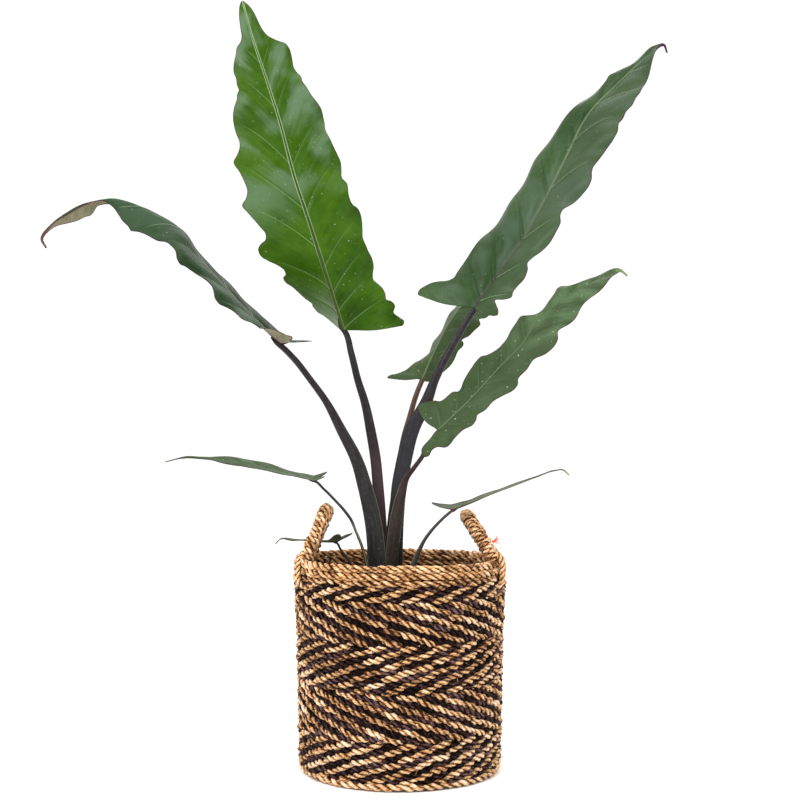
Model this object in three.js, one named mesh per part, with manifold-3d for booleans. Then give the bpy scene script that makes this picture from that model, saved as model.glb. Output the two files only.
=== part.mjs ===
// Potted alocasia lauterbachiana: an aroid with long arrow-shaped leaves on dark stalks,
// growing in a plastic pot that stands inside a twined seagrass basket with two rope handles.
// Millimetres, +Z up, origin at the middle of the basket's foot on the floor, front towards -Y.
import * as THREE from "three";
import { mergeVertices } from "three/addons/utils/BufferGeometryUtils.js";
import Module from "manifold-3d";

const wasm = await Module();
wasm.setup();

// Clearance between neighbouring pieces, and the same for a hole round a curved one.
const GAP = 0.3;
const CUT = GAP + 0.1;

// Curves: share of the length that a direction is read over, and points that a length is summed over.
const NUDGE = 1e-3;
const LENGTH_SAMPLES = 200;

// Basket: a slightly tapered cup of twined cord.
const WALL_TOP = 225.5;
const WALL_RADIUS_TOP = 123.8;
const WALL_RADIUS_FOOT = 119;
const FOOT_RADIUS = 115;
const FOOT_ROUNDING = 5;
const WALL_THICKNESS = 8;
const FLOOR_THICKNESS = 8;
const STITCHES_ROUND = 32;
const STITCH_RELIEF = 1.3;
// Rows of one slant, counted from the foot: the stripes turn back at the end of each band.
const BAND_ROWS = [5, 4, 5, 4, 2];
const STITCH_SLANT = 0.5;

// Rim: two natural ropes laid on the wall's top edge.
const RIM_LOWER_RADIUS = 4.7;
const RIM_UPPER_RADIUS = 5.4;
const RIM_OUTSIDE = 125.2;
const RIM_STEPS = 40;
const RIM_LAYS = 20;
const ROPE_SIDES = 8;
const ROPE_OVAL = 0.07;

// Handles: wound rope arches over the rim, leaning inwards.
const HANDLE_ROPE_RADIUS = 7.2;
const HANDLE_WINDING = 0.6;
const HANDLE_HALF_SPAN = 48;
const HANDLE_STEPS = 26;
const HANDLE_SEAT = 2;
const HANDLE_SQUARENESS = 0.75;
const HANDLE_NARROWING = 0.06;
const HANDLES = [
  { name: "handle_left", side: -1, top: 300, lean: 0.4 },
  { name: "handle_right", side: 1, top: 292, lean: 0.62 },
];
const LASHING_RADIUS = 2.9;
const LASHING_SLACK = 0.5;
const LASHING_HOLE_HEIGHT = 217;
const LASHING_STEPS = 12;
const LASHING_SIDES = 6;

// Red string knotted round the front leg of the right handle.
const TIE_RADIUS = 0.9;
const TIE_HEIGHT = 262;
const TIE_STEPS = 14;
const TIE_SIDES = 6;
const TIE_KNOT_RADIUS = 2;
const TIE_END_RADII = [1.3, 0.8];
// Each loose end: how far it stands out of the knot, and how far it rises along the leg.
const TIE_ENDS = [
  { length: 8, rise: 2.5 },
  { length: 7, rise: -1.5 },
];

// Growing pot and its potting mix.
const POT_FOOT_RADIUS = 84;
const POT_TOP_RADIUS = 104;
const POT_TOP = 221;
const POT_WALL = 2;
const POT_LIP = 4;
const POT_LIP_HEIGHT = 6;
const SOIL_TOP = 214;
const SOIL_BUMP = 2.2;
// Radii of the rings of crumbs on the soil, and how far each lies over or under the soil's top.
const SOIL_MIDDLE = { radius: 6, rise: 1 };
const SOIL_RINGS = [
  { radius: 32, rise: 0 },
  { radius: 58, rise: 0 },
  { radius: 82, rise: -1 },
];
const SOIL_EDGE_DROP = 3;
const LATHE_SEGMENTS = 30;

// Stalks. The foot of each stands this deep in the soil.
const STALK_DEPTH = 24;
const STALK_POINTS = 10;
const STALK_STEPS_PER_STATION = 1.6;
// A full channel brings the stalk's open side this share of its half depth behind the middle.
const CHANNEL_SHARE = 1.5;

// Blades.
const BLADE_THICKNESS = 1.1;
const MIDRIB_HEIGHT = 2.2;
const ROLL_WIDTH = 50;
const VEIN_FAN = 1.3;
const TIP_WIDTH = 0.7;
const MIDRIB_TAPER = 0.8;
const SMALL_MIDRIB = 0.5;
const MANY_ROWS = 20;
// The back edge of each lobe bows out towards the stalk by this much.
const LOBE_BOW = 4;
const LOBE_BOW_FADE = 10;
// The margin's waves: where along the blade they begin and end, how pointed their crests are,
// how far the up-and-down wave runs ahead of the one in the outline, and how it dies out inwards.
const WAVE_START = 0.05;
const WAVE_END = 0.93;
const WAVE_POINT = 0.35;
const WAVE_LEAD = 0.2;
const WAVE_INWARD_FADE = 2.2;
// Places across a half, from the midrib to the margin. The second is the foot of the raised midrib.
const ACROSS_LARGE = [0, 0.07, 0.36, 0.7, 1];
const ACROSS_SMALL = [0, 0.14, 0.55, 1];

// Outline of one half of a blade: [share of the midrib, mm out from it], from the lobe's tip to
// the leaf's tip. tilt: degrees that the half is folded up (down if negative) from base to tip.
// curl: how far it rolls over, in radians per ROLL_WIDTH. waves, shift and ripple: the margin's
// up-and-down waves. scallop: the same waves cut into the outline, where it isn't drawn by hand.
const half = (outline, tilt, curl, waves, shift, scallop, ripple) => ({
  outline,
  tilt,
  curl,
  waves,
  shift,
  scallop,
  ripple,
});

const PLAIN_SMALL_HALF = [
  [-0.08, 13],
  [0.1, 15],
  [0.4, 16],
  [0.7, 11],
  [0.9, 5],
  [1, TIP_WIDTH],
];

// Stalk stations: [x, y, z, width, depth, channel], channel 0 a round stalk, 1 an open sheath.
const PLANTS = [
  {
    number: 1,
    lift: 0,
    rows: 30,
    midrib: [
      [-69, 25, 516],
      [-91, 38, 587],
      [-113, 52, 655],
      [-130, 62, 706],
      [-152, 80, 786],
      [-175, 98, 857],
      [-190, 110, 901],
      [-202, 124, 941],
    ],
    face: [
      [0.25, -0.9, 0.2],
      [0.15, -0.95, 0.25],
      [0.1, -0.9, 0.4],
    ],
    left: half(
      [
        [-0.01, 70],
        [0.04, 62],
        [0.09, 60],
        [0.18, 60],
        [0.2, 55],
        [0.28, 70],
        [0.31, 58],
        [0.41, 71],
        [0.44, 60],
        [0.52, 68],
        [0.59, 54],
        [0.66, 52],
        [0.73, 39],
        [0.82, 32],
        [0.86, 21],
        [0.94, 9],
        [1, TIP_WIDTH],
      ],
      [-104, -76, -16, -5, -4, 0, 0, 0, 0],
      [0.2],
      6,
      0.5,
      0,
      4,
    ),
    right: half(
      [
        [-0.01, 82],
        [0.02, 70],
        [0.04, 74],
        [0.06, 64],
        [0.11, 58],
        [0.17, 64],
        [0.22, 58],
        [0.31, 67],
        [0.38, 61],
        [0.47, 63],
        [0.57, 54],
        [0.64, 54],
        [0.72, 44],
        [0.83, 38],
        [0.91, 16],
        [1, TIP_WIDTH],
      ],
      [5, 8, 5, 0],
      [0.2],
      7,
      0,
      0,
      4,
    ),
    open: [0.2, -1, 0],
    stalk: [
      [-21, 3, SOIL_TOP - STALK_DEPTH, 15, 9, 0.5],
      [-21, 3, 241, 15, 9, 0.6],
      [-23, 3, 289, 14, 9, 0.6],
      [-26, 5, 328, 13.5, 9, 0.5],
      [-29, 7, 360, 13, 9, 0.4],
      [-35, 10, 395, 12, 9, 0.2],
      [-42, 14, 428, 10, 8.5, 0],
      [-51, 18, 455, 8.8, 8, 0],
      [-60, 22, 487, 8.2, 7.6, 0],
      [-69, 25, 516, 7.4, 6.6, 0],
    ],
  },
  {
    number: 2,
    lift: 0,
    rows: 30,
    midrib: [
      [89, 0, 541],
      [119, 8, 583],
      [147, 16, 623],
      [174, 24, 671],
      [200, 32, 722],
      [233, 42, 785],
      [271, 50, 825],
      [308, 54, 860],
      [323, 56, 875],
      [333, 57, 869],
    ],
    face: [
      [-0.3, -0.85, 0.4],
      [-0.35, -0.85, 0.35],
      [-0.4, -0.7, 0.6],
    ],
    left: half(
      [
        [-0.04, 74],
        [-0.01, 66],
        [0.06, 58],
        [0.15, 56],
        [0.28, 58],
        [0.45, 56],
        [0.6, 46],
        [0.75, 24],
        [0.9, 9],
        [1, TIP_WIDTH],
      ],
      [4, 6, 6, 4, 0],
      [0, 0.5, 0.85, 0.95, 1.1, 0.5, 0],
      7,
      0,
      2,
      3,
    ),
    right: half(
      [
        [-0.03, 44],
        [0.04, 32],
        [0.07, 44],
        [0.13, 45],
        [0.17, 36],
        [0.29, 48],
        [0.34, 40],
        [0.44, 56],
        [0.48, 52],
        [0.58, 60],
        [0.64, 54],
        [0.72, 50],
        [0.79, 42],
        [0.9, 15],
        [1, TIP_WIDTH],
      ],
      [25, 28, 28, 15, 5],
      [0.3],
      7,
      0.3,
      0,
      4,
    ),
    open: [-0.3, -1, 0],
    stalk: [
      [-5, 3, SOIL_TOP - STALK_DEPTH, 16, 9, 0.4],
      [-5, 3, 241, 17, 9, 0.5],
      [-4, 3, 289, 18, 9, 0.5],
      [-1, 3, 328, 19, 9, 0.5],
      [5, 3, 360, 19, 9, 0.5],
      [14, 2, 395, 18.5, 9, 0.4],
      [31, 1, 428, 14.5, 9, 0.2],
      [41, 1, 454, 10.5, 8.5, 0],
      [65, 0, 500, 8.6, 8, 0],
      [89, 0, 541, 7.4, 6.6, 0],
    ],
  },
  {
    number: 3,
    lift: 40,
    rows: 30,
    midrib: [
      [-141, -5, 498],
      [-174, -2, 529],
      [-215, 2, 573],
      [-239, 4, 601],
      [-260, 4, 633],
      [-299, 4, 657],
      [-344, 4, 671],
      [-384, 2, 661],
      [-417, 0, 637],
      [-426, 0, 621],
      [-421, 0, 612],
    ],
    face: [
      [0.62, -0.3, 0.62],
      [0.62, -0.3, 0.62],
      [0.6, -0.35, 0.65],
      [0.4, -0.75, 0.6],
      [0.1, -0.1, 0.95],
      [-0.6, 0.3, 0.75],
    ],
    left: half(
      [
        [-0.04, 48],
        [0.04, 38],
        [0.1, 40],
        [0.16, 48],
        [0.21, 36],
        [0.28, 54],
        [0.35, 40],
        [0.45, 58],
        [0.52, 42],
        [0.61, 50],
        [0.7, 32],
        [0.76, 28],
        [0.86, 18],
        [0.95, 6],
        [1, TIP_WIDTH],
      ],
      [12, 10, 7, 6, 16, 14, 8, 4, 0],
      [0.2, 0.2, 0.3, 0.3, 0.9, 1, 0.6, 0.2, 0.2],
      6,
      0,
      0,
      3,
    ),
    right: half(
      [
        [-0.05, 50],
        [0.03, 42],
        [0.15, 42],
        [0.35, 46],
        [0.55, 42],
        [0.75, 28],
        [0.9, 12],
        [1, TIP_WIDTH],
      ],
      [0, 3, 6, 0, -36, -36, -10, 0, 0],
      [0.1, 0.1, 0.3, 0.6, 0.5, 0.2],
      8,
      0.3,
      2.5,
      3,
    ),
    open: [0.35, 1, 0],
    stalk: [
      [-27, -14, SOIL_TOP - STALK_DEPTH, 19, 7.5, 0.9],
      [-28, -14, 243, 20, 7.5, 1],
      [-32, -13.5, 290, 21, 7.5, 1],
      [-41, -12.5, 328, 18.5, 7.5, 0.9],
      [-51, -11.5, 360, 15.5, 8, 0.8],
      [-69, -10, 395, 12.5, 8, 0.5],
      [-88, -8, 430, 8.5, 8, 0.1],
      [-107, -7, 456, 7.6, 7.6, 0],
      [-125, -6, 479, 7.4, 7.2, 0],
      [-141, -5, 498, 7, 6.4, 0],
    ],
  },
  {
    number: 4,
    lift: 0,
    rows: 28,
    midrib: [
      [44, -52, 395],
      [76, -46, 425],
      [115, -36, 467],
      [143, -28, 496],
      [161, -22, 522],
      [189, -14, 546],
      [222, -6, 567],
      [252, 2, 581],
      [262, 4, 585],
      [271, 5, 579],
    ],
    face: [
      [-0.5, -0.8, 0.35],
      [-0.45, -0.8, 0.4],
      [-0.3, -0.6, 0.7],
    ],
    left: half(
      [
        [0.02, 40],
        [0.03, 47],
        [0.07, 36],
        [0.1, 25],
        [0.15, 27],
        [0.17, 23],
        [0.23, 26],
        [0.31, 33],
        [0.35, 24],
        [0.41, 23],
        [0.48, 28],
        [0.55, 22],
        [0.6, 14],
        [0.68, 15],
        [0.74, 23],
        [0.8, 9],
        [0.9, 6],
        [1, TIP_WIDTH],
      ],
      [5],
      [0.2],
      7,
      0,
      0,
      3,
    ),
    right: half(
      [
        [-0.1, 8],
        [-0.1, 18],
        [-0.06, 17],
        [-0.03, 26],
        [0.08, 29],
        [0.14, 23],
        [0.21, 26],
        [0.3, 37],
        [0.35, 31],
        [0.42, 29],
        [0.55, 36],
        [0.7, 32],
        [0.77, 24],
        [0.88, 14],
        [0.94, 6],
        [1, TIP_WIDTH],
      ],
      [5],
      [0.2],
      7,
      0.3,
      0,
      3,
    ),
    open: [-0.3, 1, 0],
    stalk: [
      [-8.5, -15, SOIL_TOP - STALK_DEPTH, 16.5, 7.5, 0.9],
      [-8.5, -15, 243, 17.5, 7.5, 1],
      [-4, -17, 290, 16, 7.5, 1],
      [1, -20, 318, 12, 7.5, 0.8],
      [8, -26, 340, 7, 6.5, 0.2],
      [17, -32, 352, 5.4, 5.4, 0],
      [25, -38, 363, 5.2, 5.2, 0],
      [34, -46, 379, 5.2, 5.2, 0],
      [44, -52, 395, 5.2, 5.2, 0],
    ],
  },
  {
    number: 5,
    lift: 0,
    rows: 22,
    midrib: [
      [27, 30, 458],
      [43, 50, 494],
      [62, 75, 530],
      [89, 105, 569],
      [116, 135, 611],
      [142, 160, 651],
      [165, 180, 686],
    ],
    face: [
      [-0.3, -0.9, 0.2],
      [-0.3, -0.85, 0.4],
      [-0.2, -0.7, 0.6],
    ],
    left: half(
      [
        [-0.01, 44],
        [0.03, 30],
        [0.09, 24],
        [0.2, 26],
        [0.4, 30],
        [0.6, 25],
        [0.8, 14],
        [1, TIP_WIDTH],
      ],
      [0, -50, -50, -40, -30, -20, -10],
      [0.2],
      6.5,
      0,
      2,
      3,
    ),
    right: half(
      [
        [-0.02, 42],
        [0.06, 30],
        [0.16, 29],
        [0.23, 33],
        [0.4, 38],
        [0.6, 30],
        [0.8, 18],
        [1, TIP_WIDTH],
      ],
      [-92, -66, -8, -15, -25, -30, -20, -10, 0],
      [0.2],
      6.5,
      0.3,
      2,
      3,
    ),
    open: [0.4, -1, 0],
    stalk: [
      [-13, 18, SOIL_TOP - STALK_DEPTH, 11, 8, 0.4],
      [-13, 18, 240, 11, 8, 0.5],
      [-10, 18, 288, 10, 8, 0.4],
      [-5, 19, 327, 9, 7.5, 0.2],
      [0, 20, 359, 8, 7, 0.1],
      [5, 22, 387, 7.4, 6.6, 0],
      [12, 24, 412, 6.8, 6.4, 0],
      [19, 27, 436, 6.4, 6.2, 0],
      [27, 30, 458, 6, 6, 0],
    ],
  },
  {
    number: 6,
    lift: 42,
    rows: 13,
    midrib: [
      [-100, -30, 337],
      [-126, -34, 343],
      [-154, -38, 350.5],
      [-185, -40, 357],
      [-220, -42, 362],
      [-248, -44, 363],
      [-270, -46, 358],
    ],
    face: [
      [0, -0.2, 1],
      [0, -0.2, 1],
    ],
    left: half(PLAIN_SMALL_HALF, [14, 12, 5, 0], [0.2], 4, 0, 1.2, 1.2),
    right: half(PLAIN_SMALL_HALF, [6, 4, 0], [0.2], 4, 0.3, 1.2, 1.2),
    open: [0.6, 0.8, 0],
    stalk: [
      [-40, -27, SOIL_TOP - STALK_DEPTH, 9, 6, 0.6],
      [-41, -27.5, 240, 9, 6, 0.8],
      [-46, -28, 267, 8, 5.5, 0.8],
      [-55, -29, 292, 5.5, 4.6, 0.3],
      [-70, -30, 309, 4.4, 4.2, 0],
      [-85, -30, 323, 4.2, 4, 0],
      [-100, -30, 337, 4, 3.8, 0],
    ],
  },
  {
    number: 7,
    lift: 35,
    rows: 9,
    midrib: [
      [-79, 66, 258],
      [-99, 72, 258],
      [-118, 78, 259],
      [-137, 80, 260],
      [-149, 82, 260],
      [-155, 82, 254],
    ],
    face: [
      [0.1, -0.25, 1],
      [0, -0.2, 1],
    ],
    left: half(
      [
        [-0.15, 10],
        [0.1, 9],
        [0.4, 9],
        [0.7, 6],
        [1, TIP_WIDTH],
      ],
      [20, 0, -10],
      [0.3],
      3,
      0,
      0.6,
      0.8,
    ),
    right: half(
      [
        [-0.15, 12],
        [0.1, 9],
        [0.4, 9],
        [0.7, 6],
        [1, TIP_WIDTH],
      ],
      [40, 0, -10],
      [0.3],
      3,
      0.3,
      0.6,
      0.8,
    ),
    open: [0.6, -0.8, 0],
    stalk: [
      [-52, 64, SOIL_TOP - STALK_DEPTH, 5, 4.4, 0],
      [-58, 65, 221, 4.6, 4.2, 0],
      [-65, 66, 238, 4, 3.8, 0],
      [-73, 66, 249, 3.6, 3.6, 0],
      [-79, 66, 258, 3.4, 3.4, 0],
    ],
  },
  {
    number: 8,
    lift: 30,
    rows: 12,
    midrib: [
      [61, -35, 303],
      [82, -36, 311],
      [105, -38, 321],
      [129, -40, 330],
      [155, -42, 340],
      [178, -44, 348],
      [187, -45, 349],
      [194, -46, 343],
    ],
    face: [
      [-0.2, 0.1, 1],
      [-0.2, 0.05, 1],
    ],
    left: half(
      [
        [-0.12, 9],
        [0.1, 10],
        [0.4, 11],
        [0.7, 8],
        [0.9, 4],
        [1, TIP_WIDTH],
      ],
      [20, 10, 0],
      [0.1],
      4,
      0,
      0.8,
      1,
    ),
    right: half(
      [
        [-0.12, 9],
        [0.1, 10],
        [0.4, 11],
        [0.7, 8],
        [0.9, 4],
        [1, TIP_WIDTH],
      ],
      [20, 10, 0],
      [0.1],
      4,
      0.3,
      0.8,
      1,
    ),
    open: [-0.6, 0.8, 0],
    stalk: [
      [9, -28, SOIL_TOP - STALK_DEPTH, 8, 5.5, 0.6],
      [14, -28, 237, 7.5, 5.5, 0.7],
      [19, -29, 250, 6, 4.6, 0.4],
      [25, -30, 259, 4.6, 4.2, 0.1],
      [35, -31, 268, 4, 3.8, 0],
      [47, -33, 286, 3.8, 3.6, 0],
      [61, -35, 303, 3.6, 3.4, 0],
    ],
  },
];

// Finishes.
const finish = (color, roughness) => new THREE.MeshStandardMaterial({ color, roughness, metalness: 0 });
const twoToneSeagrass = finish(0x7a5e48, 0.85);
const naturalSeagrass = finish(0xca9c6c, 0.85);
const redString = finish(0xe0402c, 0.5);
const blackPlastic = finish(0x1c1d1e, 0.55);
const pottingMix = finish(0x3a2a20, 0.95);
const darkStalk = finish(0x3e3a3e, 0.5);
const brownStalk = finish(0x4c393c, 0.5);
const greenBlade = finish(0x3f6b2c, 0.4);

// A fixed sequence of numbers from 0 to 1, the same on every run.
function seeded(seed) {
  let state = seed;
  return () => {
    state = (state * 1664525 + 1013904223) % 4294967296;
    return state / 4294967296;
  };
}

const smooth = (low, high, x) => THREE.MathUtils.smoothstep(x, low, high);

// Value at share t along a list of evenly spaced values.
function along(values, t) {
  const place = THREE.MathUtils.clamp(t, 0, 1) * (values.length - 1);
  const i = Math.min(Math.floor(place), Math.max(values.length - 2, 0));
  const next = values[Math.min(i + 1, values.length - 1)];
  return values[i] + (next - values[i]) * (place - i);
}

// A smooth curve through points, read by its share of the length. It runs straight on past its ends.
function curveThrough(points) {
  const knots = [0];
  for (let i = 1; i < points.length; i += 1) {
    knots.push(knots[i - 1] + points[i].distanceTo(points[i - 1]));
  }
  const total = knots.at(-1);
  const k = knots.map((x) => x / total);
  const last = points.length - 1;
  const pull = (i) => points[i + 1].clone().sub(points[i]).divideScalar(k[i + 1] - k[i]);
  const slopes = points.map((p, i) => {
    if (i === 0) return pull(0);
    if (i === last) return pull(last - 1);
    const share = (k[i + 1] - k[i]) / (k[i + 1] - k[i - 1]);
    return pull(i - 1).multiplyScalar(share).addScaledVector(pull(i), 1 - share);
  });
  return (t) => {
    if (t < 0) return points[0].clone().addScaledVector(slopes[0], t);
    if (t > 1) return points[last].clone().addScaledVector(slopes[last], t - 1);
    let i = 0;
    while (i < last - 1 && t >= k[i + 1]) i += 1;
    const span = k[i + 1] - k[i];
    const s = (t - k[i]) / span;
    return points[i]
      .clone()
      .multiplyScalar(2 * s ** 3 - 3 * s ** 2 + 1)
      .addScaledVector(slopes[i], (s ** 3 - 2 * s ** 2 + s) * span)
      .addScaledVector(points[i + 1], -2 * s ** 3 + 3 * s ** 2)
      .addScaledVector(slopes[i + 1], (s ** 3 - s ** 2) * span);
  };
}

function lengthOf(curve) {
  let sum = 0;
  let previous = curve(0);
  for (let i = 1; i <= LENGTH_SAMPLES; i += 1) {
    const next = curve(i / LENGTH_SAMPLES);
    sum += next.distanceTo(previous);
    previous = next;
  }
  return sum;
}

const vector = (p) => new THREE.Vector3(p[0], p[1], p[2] ?? 0);

// Solids from closed meshes, and back.
function solidFrom(positions, triangles) {
  return new wasm.Manifold(
    new wasm.Mesh({
      numProp: 3,
      vertProperties: new Float32Array(positions),
      triVerts: new Uint32Array(triangles),
    }),
  );
}

function solidOf(geometry) {
  const bare = new THREE.BufferGeometry().setAttribute("position", geometry.getAttribute("position"));
  if (geometry.index) bare.setIndex(geometry.index);
  const merged = mergeVertices(bare, 1e-4);
  return solidFrom(merged.attributes.position.array, merged.index.array);
}

function geometryOf(solid) {
  const mesh = solid.getMesh();
  const geometry = new THREE.BufferGeometry();
  geometry.setAttribute("position", new THREE.BufferAttribute(new Float32Array(mesh.vertProperties), 3));
  geometry.setIndex(new THREE.BufferAttribute(new Uint32Array(mesh.triVerts), 1));
  geometry.computeVertexNormals();
  return geometry;
}

// What a cut leaves whole: its largest body.
function mainBody(solid) {
  const bodies = solid.decompose();
  return bodies.reduce((best, body) => (body.volume() > best.volume() ? body : best));
}

// A closed body through rings of points, all with the same count, capped by a fan at each end.
function ringBody(rings, closedLoop) {
  const positions = [];
  const triangles = [];
  const n = rings[0].length;
  for (const ring of rings) {
    for (const p of ring) positions.push(p.x, p.y, p.z);
  }
  const at = (r, i) => (r % rings.length) * n + (i % n);
  const bands = closedLoop ? rings.length : rings.length - 1;
  for (let r = 0; r < bands; r += 1) {
    for (let i = 0; i < n; i += 1) {
      triangles.push(at(r, i), at(r, i + 1), at(r + 1, i + 1));
      triangles.push(at(r, i), at(r + 1, i + 1), at(r + 1, i));
    }
  }
  if (!closedLoop) {
    for (const end of [0, rings.length - 1]) {
      const middle = new THREE.Vector3();
      for (const p of rings[end]) middle.addScaledVector(p, 1 / n);
      const centre = positions.length / 3;
      positions.push(middle.x, middle.y, middle.z);
      for (let i = 0; i < n; i += 1) {
        if (end === 0) triangles.push(centre, at(end, i + 1), at(end, i));
        else triangles.push(centre, at(end, i), at(end, i + 1));
      }
    }
  }
  return solidFrom(positions, triangles);
}

// Basket body.
function wallRadius(z) {
  return WALL_RADIUS_FOOT + ((WALL_RADIUS_TOP - WALL_RADIUS_FOOT) * z) / WALL_TOP;
}

function basketBody() {
  const positions = [];
  const triangles = [];
  const n = STITCHES_ROUND;
  const step = (2 * Math.PI) / n;
  const ring = (radius, z, shift) => {
    const first = positions.length / 3;
    for (let i = 0; i < n; i += 1) {
      const angle = (i + shift) * step;
      positions.push(radius * Math.cos(angle), radius * Math.sin(angle), z);
    }
    return first;
  };
  const join = (low, high) => {
    for (let i = 0; i < n; i += 1) {
      const j = (i + 1) % n;
      triangles.push(low + i, low + j, high + j);
      triangles.push(low + i, high + j, high + i);
    }
  };
  const pitch = (WALL_TOP - FOOT_ROUNDING) / BAND_ROWS.reduce((sum, rows) => sum + rows);
  const underside = positions.length / 3;
  positions.push(0, 0, 0);
  const foot = ring(FOOT_RADIUS, 0, 0);
  for (let i = 0; i < n; i += 1) triangles.push(underside, foot + ((i + 1) % n), foot + i);

  // Each stitch is a slanted lozenge with its middle raised; the slant turns back at each band.
  let shift = 0;
  let low = ring(wallRadius(FOOT_ROUNDING) - STITCH_RELIEF / 2, FOOT_ROUNDING, shift);
  join(foot, low);
  let row = 0;
  BAND_ROWS.forEach((rows, band) => {
    const slant = band % 2 === 0 ? STITCH_SLANT : -STITCH_SLANT;
    for (let r = 0; r < rows; r += 1) {
      row += 1;
      const z = FOOT_ROUNDING + row * pitch;
      const middle = ring(wallRadius(z) + STITCH_RELIEF, z - pitch / 2, shift + slant / 2 + 0.5);
      shift += slant;
      const high = ring(wallRadius(z) - STITCH_RELIEF / 2, z, shift);
      for (let i = 0; i < n; i += 1) {
        const j = (i + 1) % n;
        triangles.push(low + i, low + j, middle + i);
        triangles.push(low + j, high + j, middle + i);
        triangles.push(high + j, high + i, middle + i);
        triangles.push(high + i, low + i, middle + i);
      }
      low = high;
    }
  });
  const innerTop = ring(WALL_RADIUS_TOP - WALL_THICKNESS, WALL_TOP, shift);
  join(low, innerTop);
  const innerFoot = ring(WALL_RADIUS_FOOT - WALL_THICKNESS, FLOOR_THICKNESS, shift);
  join(innerTop, innerFoot);
  const floor = positions.length / 3;
  positions.push(0, 0, FLOOR_THICKNESS);
  for (let i = 0; i < n; i += 1) triangles.push(floor, innerFoot + i, innerFoot + ((i + 1) % n));
  return solidFrom(positions, triangles);
}

// A rope ring whose two strands show as a twisted oval section.
function rimRope(radius, z, extra) {
  const centre = RIM_OUTSIDE - radius;
  const rings = [];
  for (let s = 0; s < RIM_STEPS; s += 1) {
    const angle = (s / RIM_STEPS) * 2 * Math.PI;
    const lay = (s / RIM_STEPS) * RIM_LAYS * Math.PI;
    const points = [];
    for (let k = 0; k < ROPE_SIDES; k += 1) {
      const turn = (k / ROPE_SIDES) * 2 * Math.PI;
      const r = radius * (1 - ROPE_OVAL + ROPE_OVAL * Math.cos(2 * (turn - lay))) + extra;
      const out = centre + r * Math.cos(turn);
      points.push(new THREE.Vector3(out * Math.cos(angle), out * Math.sin(angle), z - r * Math.sin(turn)));
    }
    rings.push(points);
  }
  return ringBody(rings, true);
}

// A tube along a curve. size(t) gives its radius at share t of the curve.
function tube(curve, steps, size, sides) {
  const rings = [];
  for (let s = 0; s <= steps; s += 1) {
    const t = s / steps;
    const forward = curve(t + NUDGE)
      .sub(curve(t - NUDGE))
      .normalize();
    const across = new THREE.Vector3(0, 0, 1).cross(forward);
    if (across.lengthSq() < 0.05) across.set(1, 0, 0).cross(forward);
    across.normalize();
    const over = forward.clone().cross(across);
    const centre = curve(t);
    const points = [];
    for (let k = 0; k < sides; k += 1) {
      const turn = (k / sides) * 2 * Math.PI;
      points.push(
        centre
          .clone()
          .addScaledVector(across, size(t) * Math.cos(turn))
          .addScaledVector(over, size(t) * Math.sin(turn)),
      );
    }
    rings.push(points);
  }
  return ringBody(rings, false);
}

const RIM_LOWER_Z = WALL_TOP + GAP + RIM_LOWER_RADIUS;
const RIM_UPPER_Z = RIM_LOWER_Z + RIM_LOWER_RADIUS + GAP + RIM_UPPER_RADIUS;
const RIM_TOP = RIM_UPPER_Z + RIM_UPPER_RADIUS;

// Middle line of a handle: up from the rim at the front leg, over, and down to the rim again.
function handleArch({ side, top, lean }) {
  const footRadius = RIM_OUTSIDE - RIM_UPPER_RADIUS;
  const foot = Math.sqrt(footRadius ** 2 - HANDLE_HALF_SPAN ** 2);
  const footHeight = RIM_TOP - HANDLE_SEAT;
  return (t) => {
    const turn = t * Math.PI;
    const rise = (top - footHeight) * Math.sin(turn) ** HANDLE_SQUARENESS;
    return new THREE.Vector3(
      side * (foot - lean * rise),
      -HANDLE_HALF_SPAN * Math.cos(turn) * (1 - HANDLE_NARROWING * Math.sin(turn)),
      footHeight + rise,
    );
  };
}

function handleCurve(handle) {
  const arch = handleArch(handle);
  return (t) => arch(THREE.MathUtils.clamp(t, 0, 1));
}

// The cord that ties a leg down: out over the rim, down the wall and in through it.
function lashing(handle, end, extra) {
  const leg = handleArch(handle)(end);
  const angle = Math.atan2(leg.y, leg.x);
  const at = (radius, z) => new THREE.Vector3(radius * Math.cos(angle), radius * Math.sin(angle), z);
  const legRadius = Math.hypot(leg.x, leg.y);
  const outside = RIM_OUTSIDE + GAP + LASHING_RADIUS + LASHING_SLACK;
  const route = curveThrough([
    at(legRadius, RIM_TOP + 2 * LASHING_RADIUS),
    at((legRadius + outside) / 2, RIM_TOP + 2 * LASHING_RADIUS),
    at(outside - LASHING_SLACK, RIM_TOP),
    at(outside + LASHING_SLACK, RIM_UPPER_Z),
    at(outside + LASHING_SLACK, RIM_LOWER_Z),
    at(outside - LASHING_SLACK, LASHING_HOLE_HEIGHT + LASHING_RADIUS),
    at(WALL_RADIUS_TOP, LASHING_HOLE_HEIGHT),
    at(WALL_RADIUS_TOP - WALL_THICKNESS - GAP, LASHING_HOLE_HEIGHT),
  ]);
  return tube(route, LASHING_STEPS, () => LASHING_RADIUS + extra, LASHING_SIDES);
}

function handleSolid(handle) {
  const arch = handleCurve(handle);
  const step = (t) => Math.round(t * HANDLE_STEPS);
  const wound = (t) => HANDLE_ROPE_RADIUS + (step(t) % 2 === 0 ? HANDLE_WINDING : -HANDLE_WINDING);
  const seated = tube(arch, HANDLE_STEPS, wound, ROPE_SIDES)
    .add(lashing(handle, 0, 0))
    .add(lashing(handle, 1, 0))
    .subtract(rimRope(RIM_UPPER_RADIUS, RIM_UPPER_Z, GAP))
    .subtract(rimRope(RIM_LOWER_RADIUS, RIM_LOWER_Z, GAP));
  return mainBody(seated);
}

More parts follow.
